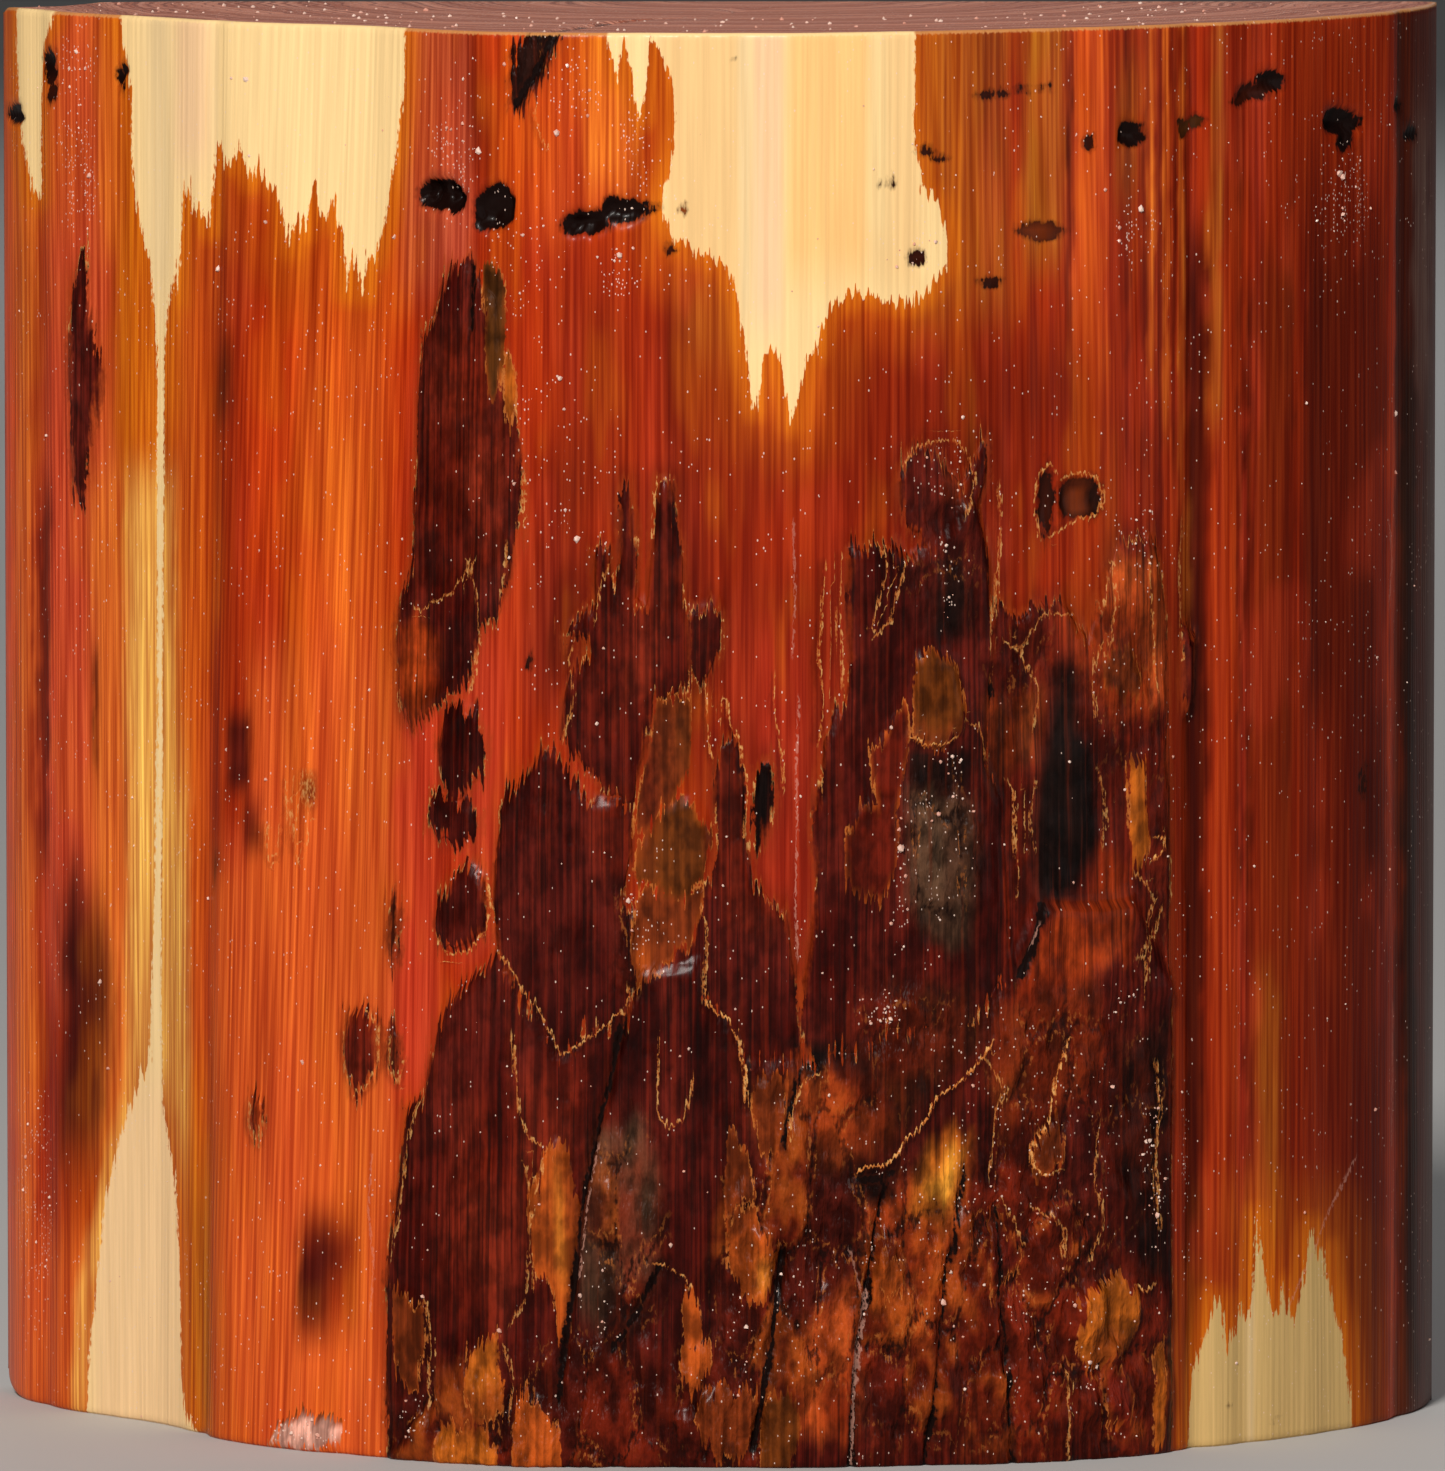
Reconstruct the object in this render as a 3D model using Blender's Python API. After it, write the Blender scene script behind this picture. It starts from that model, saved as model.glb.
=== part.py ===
"""Ironwood half log: one length of log, split to a flat sawn back and sawn square at both ends.

The log stands on its lower end. Metres, +Z up, origin at the middle of the bottom of its
bounding box. The round side, with bark plates, knot holes and drying cracks, faces -Y and
the flat sawn back faces +Y. Places on the round side are given as an angle in degrees about
the middle of the back edge (0 faces -Y, positive turns towards +X) and a height.
"""

import math

import bmesh
import bpy
from mathutils import Vector, noise

MM = 0.001

# Driving sizes
HEIGHT = 157.8 * MM
HALF_WIDTH = 81.0 * MM
ROUND_DEPTH = 63.0 * MM
BACK_Y = 33.0 * MM
TOP_SLOPE = 0.004
CORNER_BEVEL = 2.2 * MM
BACK_COLUMNS = (0.86, 0.0, -0.86)
RIM_INSET = 4.0 * MM

# How finely the round side is divided
COLUMNS = 94
ROW_PITCH_LOW = 3.9 * MM
ROW_PITCH_HIGH = 5.2 * MM
BARK_CRUST_TOP = 55.0 * MM

# Swellings of the round outline: angle, spread, rise at the base, rise at the top
SWELLINGS = (
    (-62, 14, -6.5 * MM, -6.2 * MM),
    (-38, 14, 1.5 * MM, -6.0 * MM),
    (-15, 14, 4.0 * MM, 2.2 * MM),
    (12, 14, 2.4 * MM, 3.0 * MM),
    (36, 14, 3.0 * MM, 0.5 * MM),
)

# Long furrows down the grain: angle, half width in degrees, depth
FURROWS = (
    (-76.5, 1.6, 0.5 * MM),
    (-52.6, 1.4, 0.6 * MM),
    (-33.0, 1.8, 0.35 * MM),
    (7.0, 1.6, 0.4 * MM),
    (38.6, 1.5, 0.5 * MM),
    (51.0, 1.5, 1.2 * MM),
    (56.5, 1.4, 0.4 * MM),
    (66.0, 2.0, 0.35 * MM),
    (77.5, 1.5, 0.6 * MM),
)

# Bark left on the wood, or sunk in it: angle, height, half angle, half height, rise
BARK_PLATES = (
    (-20.0, 108 * MM, 5.0, 24 * MM, 0.7 * MM),
    (-20.4, 79 * MM, 2.4, 5.5 * MM, 1.0 * MM),
    (-20.3, 62 * MM, 2.8, 5.0 * MM, 1.0 * MM),
    (-14.0, 59 * MM, 6.0, 19 * MM, 1.0 * MM),
    (-3.3, 76 * MM, 7.0, 19 * MM, 0.9 * MM),
    (-1.0, 69 * MM, 3.5, 6.5 * MM, 0.8 * MM),
    (18.0, 75 * MM, 5.0, 20 * MM, 1.1 * MM),
    (25.2, 85 * MM, 2.6, 4.6 * MM, 0.9 * MM),
    (25.0, 66 * MM, 3.5, 10 * MM, 1.0 * MM),
    (45.0, 71 * MM, 1.8, 6.5 * MM, 0.9 * MM),
    (-32.0, 44 * MM, 1.9, 5.5 * MM, 0.8 * MM),
    (-22.0, 18 * MM, 7.0, 25 * MM, 1.0 * MM),
    (-4.0, 15 * MM, 8.0, 21 * MM, 1.2 * MM),
    (20.0, 18 * MM, 9.0, 24 * MM, 1.6 * MM),
    (39.0, 24 * MM, 8.0, 30 * MM, 1.2 * MM),
    (37.0, 75 * MM, 3.0, 14 * MM, -0.9 * MM),
    (38.0, 106.5 * MM, 3.2, 4.2 * MM, -0.8 * MM),
)
PLATE_EDGE = 0.22

# Knot holes: angle, height, half width, half height, half depth
KNOT_HOLES = (
    (-23.7, 139.6 * MM, 2.7 * MM, 1.7 * MM, 2.6 * MM),
    (-17.5, 138.5 * MM, 2.1 * MM, 2.5 * MM, 2.4 * MM),
    (-9.6, 136.8 * MM, 2.8 * MM, 1.5 * MM, 1.8 * MM),
    (-4.2, 138.2 * MM, 2.7 * MM, 1.5 * MM, 1.8 * MM),
    (-0.4, 134.2 * MM, 0.9 * MM, 1.0 * MM, 0.9 * MM),
    (23.2, 133.2 * MM, 1.2 * MM, 1.0 * MM, 1.0 * MM),
    (-74.6, 150.1 * MM, 1.5 * MM, 1.7 * MM, 1.1 * MM),
    (-65.6, 150.7 * MM, 1.3 * MM, 1.3 * MM, 1.1 * MM),
    (-80.8, 145.6 * MM, 1.2 * MM, 1.3 * MM, 1.0 * MM),
    (44.4, 145.9 * MM, 1.6 * MM, 1.8 * MM, 1.2 * MM),
    (57.8, 150.2 * MM, 2.4 * MM, 1.5 * MM, 1.0 * MM),
    (67.9, 145.9 * MM, 2.2 * MM, 2.3 * MM, 1.4 * MM),
)

# Drying cracks in the bark: half width, then the angle and height of each point on the way
CRACKS = (
    (0.55 * MM, (-4.6, 49.8), (-6.0, 43.0), (-7.4, 36.6), (-9.3, 21.1), (-10.2, 13.0)),
    (0.60 * MM, (20.1, 31.3), (18.6, 22.0), (17.3, 13.0), (16.7, -2.0)),
    (0.55 * MM, (27.5, 33.1), (25.8, 22.3), (24.2, 9.0)),
    (0.50 * MM, (30.3, 28.4), (31.0, 15.0), (31.8, -2.0)),
    (0.40 * MM, (-20.0, 133.0), (-19.9, 125.0)),
)

# The check that runs from the round side over the rim and across the top end
CHECK_HALF_WIDTH = 0.65 * MM
CHECK_ON_ROUND_SIDE = ((-15.5, 149.4), (-13.2, 154.0), (-11.5, 158.2))
CHECK_END_ON_TOP = (3.0 * MM, 16.0 * MM)

# Wear of the two left corners: how far it reaches, and how much it takes off each end
CORNER_WEAR_REACH = 7.0 * MM
CORNER_WEAR_BOTTOM = 2.2 * MM
CORNER_WEAR_TOP = 1.2 * MM

BARK_ROUGHNESS = 0.40 * MM
WOOD_ROUGHNESS = 0.08 * MM

WOOD_COLOUR = (0.42, 0.07, 0.02, 1.0)
WOOD_GLOSS_ROUGHNESS = 0.28


def clear_scene():
    """Remove everything that the file opened with."""
    for thing in list(bpy.data.objects):
        bpy.data.objects.remove(thing, do_unlink=True)


def make_collection(name):
    """Return a new collection of this name in the scene."""
    collection = bpy.data.collections.new(name)
    bpy.context.scene.collection.children.link(collection)
    return collection


def smooth(value):
    """Ease from 0 to 1 as the value goes from 0 to 1."""
    value = min(max(value, 0.0), 1.0)
    return value * value * (3.0 - 2.0 * value)


def outline_radius(angle, height):
    """Distance of the bare round side from the middle of the back edge, at an angle in degrees."""
    turn = math.radians(angle)
    radius = 1.0 / math.hypot(math.sin(turn) / HALF_WIDTH, math.cos(turn) / ROUND_DEPTH)
    share = min(max(height / HEIGHT, 0.0), 1.0)
    for centre, spread, base_rise, top_rise in SWELLINGS:
        rise = base_rise + (top_rise - base_rise) * share
        radius += rise * math.exp(-(((angle - centre) / spread) ** 2))
    return radius


def plate_share(angle, height, plate):
    """1 inside a bark plate, 0 outside it, with a short ramp and an uneven edge between."""
    centre, level, half_angle, half_height, _ = plate
    distance = math.hypot((angle - centre) / half_angle, (height - level) / half_height)
    distance += 0.22 * noise.noise(Vector((angle * 0.35, height / (6 * MM), 3.1)))
    return smooth((1.0 + PLATE_EDGE / 2 - distance) / PLATE_EDGE)


def relief(angle, height):
    """How far the surface stands out from the bare outline, bark and furrows together."""
    rise = 0.0
    bark = 0.0
    for plate in BARK_PLATES:
        share = plate_share(angle, height, plate)
        rise += plate[4] * share
        bark = max(bark, share if plate[4] > 0 else 0.0)
    for centre, half_width, depth in FURROWS:
        rise -= depth * (1.0 - bark) * math.exp(-(((angle - centre) / half_width) ** 2))
    lumps = noise.noise(Vector((angle * 0.45, height / (7 * MM), 0.0)))
    grain = noise.noise(Vector((angle * 0.60, height / (60 * MM), 5.0)))
    rise += BARK_ROUGHNESS * bark * lumps + WOOD_ROUGHNESS * grain
    return rise * smooth((88.0 - abs(angle)) / 6.0)


def on_round_side(angle, height, lift=0.0):
    """Point on the finished round side, lifted off it by the given distance."""
    radius = outline_radius(angle, height) + relief(angle, height) + lift
    turn = math.radians(angle)
    return Vector((radius * math.sin(turn), BACK_Y - radius * math.cos(turn), height))


def mesh_from_curve(curve_object, name):
    """Turn a curve object into a welded mesh object, and remove the curve."""
    graph = bpy.context.evaluated_depsgraph_get()
    mesh = bpy.data.meshes.new_from_object(curve_object.evaluated_get(graph))
    mesh.name = name
    solid = bmesh.new()
    solid.from_mesh(mesh)
    bmesh.ops.remove_doubles(solid, verts=solid.verts, dist=0.001 * MM)
    bmesh.ops.recalc_face_normals(solid, faces=solid.faces)
    solid.to_mesh(mesh)
    solid.free()
    made = bpy.data.objects.new(name, mesh)
    made.matrix_world = curve_object.matrix_world
    bpy.data.objects.remove(curve_object, do_unlink=True)
    return made


def extrude_outline():
    """The bare half log: its outline as a filled curve, extruded to the full height."""
    curve = bpy.data.curves.new("half_log_outline", "CURVE")
    curve.dimensions = "2D"
    curve.fill_mode = "BOTH"
    curve.extrude = HEIGHT / 2
    corners = []
    for column in range(COLUMNS + 1):
        angle = -90.0 + 180.0 * column / COLUMNS
        radius = outline_radius(angle, 0.0)
        turn = math.radians(angle)
        corners.append((radius * math.sin(turn), BACK_Y - radius * math.cos(turn)))
    corners += [(share * HALF_WIDTH, BACK_Y) for share in BACK_COLUMNS]
    spline = curve.splines.new("POLY")
    spline.points.add(len(corners) - 1)
    for point, (x, y) in zip(spline.points, corners):
        point.co = (x, y, 0.0, 1.0)
    spline.use_cyclic_u = True
    outline = bpy.data.objects.new("half_log_outline", curve)
    outline.location = (0.0, 0.0, HEIGHT / 2)
    bpy.context.scene.collection.objects.link(outline)
    bpy.context.view_layer.update()
    return mesh_from_curve(outline, "half_log")


def is_end_face(face):
    """True for a face of one of the two sawn ends."""
    return abs(face.normal.z) > 0.9


def finish_ends_and_corners(solid):
    """Make each sawn end one face with a narrow rim, and ease the two upright back corners."""
    for top in (False, True):
        level = HEIGHT if top else 0.0
        end = [f for f in solid.faces if is_end_face(f) and abs(f.calc_center_median().z - level) < MM]
        bmesh.ops.dissolve_faces(solid, faces=end)
    corners = [
        edge
        for edge in solid.edges
        if abs(edge.verts[0].co.z - edge.verts[1].co.z) > HEIGHT / 2
        and all(vert.co.y > BACK_Y - 0.01 * MM for vert in edge.verts)
        and abs(edge.verts[0].co.x) > 0.9 * HALF_WIDTH
    ]
    bmesh.ops.bevel(solid, geom=corners, offset=CORNER_BEVEL, segments=2, profile=0.5, affect="EDGES")
    ends = [face for face in solid.faces if is_end_face(face)]
    bmesh.ops.inset_region(solid, faces=ends, thickness=RIM_INSET, use_even_offset=True)


def row_levels():
    """Heights at which the sides are divided, closer together over the bark crust."""
    levels = []
    level = ROW_PITCH_LOW
    while level < HEIGHT - ROW_PITCH_LOW:
        levels.append(level)
        level += ROW_PITCH_LOW if level < BARK_CRUST_TOP else ROW_PITCH_HIGH
    return levels


def divide_into_rows(solid):
    """Cut every upright face along each row."""
    for level in row_levels():
        geometry = solid.verts[:] + solid.edges[:] + solid.faces[:]
        bmesh.ops.bisect_plane(solid, geom=geometry, plane_co=(0, 0, level), plane_no=(0, 0, 1))


def corner_wear(place):
    """Share of the corner wear at a point of a rim: 1 on the left back corner."""
    gap = math.hypot(place.x + HALF_WIDTH, place.y - BACK_Y)
    return math.exp(-((gap / CORNER_WEAR_REACH) ** 2))


def shape_surface(solid):
    """Give the extruded solid its taper, bark, furrows, worn corners and sloping top."""
    for vert in solid.verts:
        place = vert.co.copy()
        on_rim = any(not is_end_face(face) for face in vert.link_faces)
        angle = math.degrees(math.atan2(place.x, BACK_Y - place.y))
        radius = math.hypot(place.x, BACK_Y - place.y)
        if on_rim and place.y < BACK_Y - 0.01 * MM:
            radius += outline_radius(angle, place.z) - outline_radius(angle, 0.0)
            radius += relief(angle, place.z)
            turn = math.radians(angle)
            vert.co.x = radius * math.sin(turn)
            vert.co.y = BACK_Y - radius * math.cos(turn)
        vert.co.z += TOP_SLOPE * vert.co.x * place.z / HEIGHT
        if on_rim and place.z < 0.01 * MM:
            vert.co.z += CORNER_WEAR_BOTTOM * corner_wear(place)
        if on_rim and place.z > HEIGHT - 0.01 * MM:
            vert.co.z -= CORNER_WEAR_TOP * corner_wear(place)


def make_hole_cutter(index, hole, cutters):
    """An ellipsoid that scoops one knot hole out of the round side."""
    angle, height, half_width, half_height, half_depth = hole
    ball = bmesh.new()
    bmesh.ops.create_uvsphere(ball, u_segments=12, v_segments=8, radius=1.0)
    mesh = bpy.data.meshes.new(f"knot_hole_cutter_{index}")
    ball.to_mesh(mesh)
    ball.free()
    cutter = bpy.data.objects.new(mesh.name, mesh)
    cutter.scale = (half_width, half_depth, half_height)
    cutter.rotation_euler = (0.0, 0.0, math.radians(angle))
    cutter.location = on_round_side(angle, height)
    cutters.objects.link(cutter)
    return cutter


def make_crack_cutter(name, half_width, points, cutters):
    """A thin tube along the surface that leaves a groove where it passes."""
    curve = bpy.data.curves.new(name, "CURVE")
    curve.dimensions = "3D"
    curve.bevel_depth = half_width
    curve.bevel_resolution = 0
    curve.use_fill_caps = True
    spline = curve.splines.new("POLY")
    spline.points.add(len(points) - 1)
    for point, place in zip(spline.points, points):
        point.co = (*place, 1.0)
    path = bpy.data.objects.new(name, curve)
    bpy.context.scene.collection.objects.link(path)
    bpy.context.view_layer.update()
    cutter = mesh_from_curve(path, name)
    cutters.objects.link(cutter)
    return cutter


def make_cutters(cutters):
    """All knot holes and cracks, as solids to be taken out of the log."""
    made = [make_hole_cutter(index, hole, cutters) for index, hole in enumerate(KNOT_HOLES)]
    for index, (half_width, *stops) in enumerate(CRACKS):
        points = [on_round_side(angle, height * MM) for angle, height in stops]
        made.append(make_crack_cutter(f"crack_cutter_{index}", half_width, points, cutters))
    check = [on_round_side(angle, height * MM) for angle, height in CHECK_ON_ROUND_SIDE]
    check.append(Vector((*CHECK_END_ON_TOP, HEIGHT + TOP_SLOPE * CHECK_END_ON_TOP[0])))
    made.append(make_crack_cutter("check_cutter", CHECK_HALF_WIDTH, check, cutters))
    for cutter in made:
        cutter.hide_render = True
        cutter.display_type = "WIRE"
    return made


def cut(log, cutters):
    """Take each cutter out of the log with its own Boolean."""
    for cutter in cutters:
        boolean = log.modifiers.new(cutter.name, "BOOLEAN")
        boolean.operation = "DIFFERENCE"
        boolean.solver = "EXACT"
        boolean.object = cutter


def wood_material():
    """Waxed red heartwood."""
    material = bpy.data.materials.new("waxed_ironwood")
    material.use_nodes = True
    shader = material.node_tree.nodes["Principled BSDF"]
    shader.inputs["Base Color"].default_value = WOOD_COLOUR
    shader.inputs["Roughness"].default_value = WOOD_GLOSS_ROUGHNESS
    shader.inputs["Metallic"].default_value = 0.0
    return material


def centre_on_origin(log, others):
    """Move the log and its cutters so that the bottom of its box is centred on the origin."""
    bpy.context.view_layer.update()
    graph = bpy.context.evaluated_depsgraph_get()
    shape = log.evaluated_get(graph).to_mesh()
    low = Vector(min(vert.co[axis] for vert in shape.vertices) for axis in range(3))
    high = Vector(max(vert.co[axis] for vert in shape.vertices) for axis in range(3))
    shift = Vector((-(low.x + high.x) / 2, -(low.y + high.y) / 2, -low.z))
    for thing in [log, *others]:
        thing.location += shift


def build():
    """Model the half log."""
    clear_scene()
    parts = make_collection("ironwood_half_log")
    cutters = make_collection("cutters")
    log = extrude_outline()
    parts.objects.link(log)
    solid = bmesh.new()
    solid.from_mesh(log.data)
    solid.transform(log.matrix_world)
    log.matrix_world.identity()
    finish_ends_and_corners(solid)
    divide_into_rows(solid)
    shape_surface(solid)
    bmesh.ops.recalc_face_normals(solid, faces=solid.faces)
    bmesh.ops.triangulate(solid, faces=solid.faces, quad_method="BEAUTY", ngon_method="BEAUTY")
    for face in solid.faces:
        face.smooth = abs(face.normal.z) < 0.7 and face.normal.y < 0.99
    solid.to_mesh(log.data)
    solid.free()
    log.data.materials.append(wood_material())
    made = make_cutters(cutters)
    cut(log, made)
    centre_on_origin(log, made)


build()
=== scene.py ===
"""Look of the ironwood half log over its CAD frame.

One finely divided skin replaces the plain CAD solid. It carries the furrows, bark ledges, knot
holes and cracks as shape, and fields for wood colour, cream sapwood, bark, flakes and pits that
the shaders sharpen. Golden fibres, pale scratches and painted glint lines are lines that the
shader draws. The shaders also paint glints of light on the wax, highlights on the crust's plates,
a sheen on the sawn ends, and shade in the holes, cracks, furrows and crust gaps. Wax crumbs are a
piece of their own. Sizes are millimetres unless said otherwise, and outlines are given in picture
units: pixels of a 1445 x 1471 view through the camera.
"""

import logging
import math
from collections.abc import Iterator
from contextlib import contextmanager
from dataclasses import dataclass, field
from enum import Enum
from typing import Union

import bpy
import numpy as np
from mathutils import Euler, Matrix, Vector


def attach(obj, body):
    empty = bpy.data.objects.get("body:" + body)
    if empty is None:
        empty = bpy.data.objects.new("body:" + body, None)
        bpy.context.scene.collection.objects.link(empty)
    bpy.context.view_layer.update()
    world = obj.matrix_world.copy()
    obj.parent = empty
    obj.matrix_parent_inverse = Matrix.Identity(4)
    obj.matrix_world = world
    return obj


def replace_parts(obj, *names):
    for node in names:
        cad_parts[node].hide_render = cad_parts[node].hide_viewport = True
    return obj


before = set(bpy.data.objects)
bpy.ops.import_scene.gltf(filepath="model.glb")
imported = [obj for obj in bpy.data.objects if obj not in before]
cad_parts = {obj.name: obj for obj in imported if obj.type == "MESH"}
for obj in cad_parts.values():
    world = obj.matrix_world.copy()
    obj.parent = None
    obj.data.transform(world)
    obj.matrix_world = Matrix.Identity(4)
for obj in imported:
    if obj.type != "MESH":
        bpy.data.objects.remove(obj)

LOG = logging.getLogger("half_log")
MM = 0.001
UNIT = 0.11  # millimetres a picture unit spans at the front of the log
Array = np.ndarray
Socket = bpy.types.NodeSocket
Sockets = dict[str, Socket]
Feed = Union[Socket, float, tuple]


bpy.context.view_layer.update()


class Tone(Enum):
    """Colours of the wood, bark and wax, as display values; some also serve as painted glints, sheen and shade."""

    BASE = (158, 41, 9)
    EDGE_BROWN = (228, 84, 38)
    LEFT_CRIMSON = (200, 72, 40)
    PALE_ORANGE = (224, 108, 42)
    ORANGE = (206, 82, 24)
    BRIGHT_ORANGE = (228, 116, 36)
    SALMON = (208, 86, 32)
    ROSE = (186, 56, 30)
    RED_ORANGE = (184, 56, 13)
    DEEP_ORANGE = (160, 43, 9)
    RED = (112, 26, 6)
    HOT_RED = (152, 38, 16)
    CRIMSON = (174, 68, 44)
    RIGHT_RED = (148, 42, 12)
    RIGHT_ORANGE = (164, 50, 13)
    BROWN_RED = (96, 24, 7)
    WARM_BROWN = (140, 40, 10)
    DARK_BROWN = (52, 16, 6)
    # Painted shade down the furrows
    GROOVE_SHADE = (76, 16, 3)
    FLANK_BROWN = (74, 25, 10)
    # End-grain browns, made paler by a painted sheen
    SHEEN_END_BROWN = (172, 98, 74)
    SHEEN_END_PALE = (204, 130, 104)
    SHEEN_END_DARK = (122, 58, 42)
    MAROON = (68, 14, 8)
    RED_BARK = (86, 20, 8)
    BLACK = (20, 7, 5)
    AMBER = (200, 98, 14)
    AMBER_BROWN = (150, 68, 18)
    HONEY = (172, 94, 24)
    GOLD_WOOD = (252, 196, 98)
    GOLD = (196, 112, 50)
    PALE_GOLD = (226, 168, 100)
    CREAM = (247, 211, 150)
    TAN_CREAM = (234, 190, 130)
    PINK_CREAM = (240, 196, 152)
    ORANGE_CREAM = (250, 194, 122)
    GREY_CREAM = (226, 196, 148)
    GREEN_CREAM = (206, 170, 108)
    OLIVE = (88, 40, 9)
    OLIVE_BROWN = (70, 36, 10)
    FLAKE = (150, 64, 18)
    BROWN_FLAKE = (104, 40, 12)
    GOLD_FLAKE = (160, 80, 20)
    BRIGHT_GOLD = (206, 128, 40)
    GREY = (70, 46, 32)
    GREY_BROWN = (36, 19, 12)
    GREY_PINK = (120, 88, 76)
    RUST = (124, 38, 9)
    PLATE = (114, 30, 8)
    GLOW = (150, 56, 18)
    RIM_GOLD = (206, 140, 82)
    # Pale wax, also the colour of the painted glints on the waxed surfaces
    WAX_AND_GLINT = (236, 206, 190)
    # Pinkish wax, also the colour of the painted glint lines
    PINK_WAX_AND_GLINT = (216, 156, 136)

    @property
    def linear(self) -> tuple[float, float, float, float]:
        """The colour as linear light, with full alpha."""
        share = [value / 255 for value in self.value]
        light = [s / 12.92 if s <= 0.04045 else ((s + 0.055) / 1.055) ** 2.4 for s in share]
        return (*light, 1.0)


def ease(value: Array, low: float, high: float) -> Array:
    """Smooth step from 0 at low to 1 at high."""
    share = np.clip((value - low) / (high - low), 0.0, 1.0)
    return share * share * (3.0 - 2.0 * share)


def scatter(cell_x: Array, cell_y: Array, seed: int) -> Array:
    """Fixed random value from -1 to 1 for each cell of a grid."""
    mixed = cell_x * 374761 + cell_y * 668265 + seed * 144269
    mixed = (mixed ^ (mixed >> 7)) * 274126 & 0xFFFFFFF
    mixed = (mixed ^ (mixed >> 11)) * 95071 & 0xFFFFFFF
    return ((mixed ^ (mixed >> 9)) & 0xFFFF) / 32767.5 - 1.0


def value_noise(x: Array, y: Array, seed: int) -> Array:
    """Smooth noise over a plane.

    Args:
        x: First coordinate, in cells.
        y: Second coordinate, in cells.
        seed: Number that picks the pattern.

    Returns:
        Values between -1 and 1, in the shape of x.
    """
    cell_x, cell_y = np.floor(x).astype(np.int64), np.floor(y).astype(np.int64)
    across, along = x - cell_x, y - cell_y
    across, along = across * across * (3 - 2 * across), along * along * (3 - 2 * along)

    def corner(step_x: int, step_y: int) -> Array:
        """Fixed random value of a cell corner."""
        return scatter(cell_x + step_x, cell_y + step_y, seed)

    low = corner(0, 0) * (1 - across) + corner(1, 0) * across
    high = corner(0, 1) * (1 - across) + corner(1, 1) * across
    return low * (1 - along) + high * along


class Noise(Enum):
    """Noises of the round side: weight, cell width, cell height and seed of each layer, in picture units."""

    FRAY = ((2.2, 7, 46, 3), (1.6, 3.4, 20, 4))
    SPIKES = ((9.0, 5.5, 60, 5),)
    LOOSE_ACROSS = ((3.6, 6, 5, 6),)
    LOOSE_DOWN = ((2.6, 5, 6, 7),)
    SHADE = ((1.0, 24, 330, 8), (0.6, 11, 160, 9))
    SWAY = ((1.0, 60, 500, 10), (0.2, 16, 120, 17))
    WAVES = ((0.16, 24, 700, 11), (0.08, 10, 400, 12))
    SWELL = ((0.2, 30, 60, 13),)
    CRUMBLE = ((0.42, 15, 26, 14), (0.26, 7, 12, 15), (0.16, 4, 7, 16))
    LUMPS = ((1.0, 17, 26, 18), (0.6, 8, 13, 19))
    CLOUD = ((1.0, 30, 130, 21), (0.6, 12, 50, 22))
    CRUMB_ROWS = ((1.0, 6, 200, 21),)
    PLATE_LIGHT = ((1.0, 13, 20, 34),)
    BARK_CLOUD = ((0.5, 28, 95, 35), (0.25, 11, 40, 36))

    def at(self, u: Array, v: Array) -> Array:
        """Sum of the layers at picture places."""
        return sum(weight * value_noise(u / across, v / along, seed) for weight, across, along, seed in self.value)


@dataclass(frozen=True)
class LogView:
    """The camera, and how it sees a point of the log."""

    width: int = 1445
    height: int = 1471
    focal: float = 18616.0
    sensor: float = 36.0
    place: tuple[float, float, float] = (157.6, -2057.0, 270.3)
    yaw: float = 4.3
    pitch: float = 5.33

    def axes(self) -> tuple[Array, Array, Array]:
        """Right, up and forward directions of the camera."""
        yaw, pitch = math.radians(self.yaw), math.radians(self.pitch)
        forward = np.array(
            [-math.sin(yaw) * math.cos(pitch), math.cos(yaw) * math.cos(pitch), -math.sin(pitch)]
        )
        right = np.array([math.cos(yaw), math.sin(yaw), 0.0])
        return right, np.cross(right, forward), forward

    def project(self, points: Array) -> Array:
        """Picture places of points.

        Args:
            points: Array of x, y, z in millimetres.

        Returns:
            Array of picture x and y, y growing downwards.
        """
        right, up, forward = self.axes()
        away = points - np.array(self.place)
        depth = away @ forward
        across = self.width / 2 + self.focal * (away @ right) / depth
        down = self.height / 2 - self.focal * (away @ up) / depth
        return np.stack([across, down], -1)

    def add_camera(self) -> None:
        """Put the camera in the scene and make it the scene's own."""
        data = bpy.data.cameras.new("log_view")
        data.sensor_fit = "HORIZONTAL"
        data.sensor_width = self.sensor
        data.lens = self.sensor * self.focal / self.width
        data.clip_start, data.clip_end = 0.05, 50.0
        camera = bpy.data.objects.new("log_view", data)
        camera.location = Vector(self.place) * MM
        camera.rotation_euler = Euler((math.radians(90 - self.pitch), 0.0, math.radians(self.yaw)))
        bpy.context.scene.collection.objects.link(camera)
        bpy.context.scene.camera = camera


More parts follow.
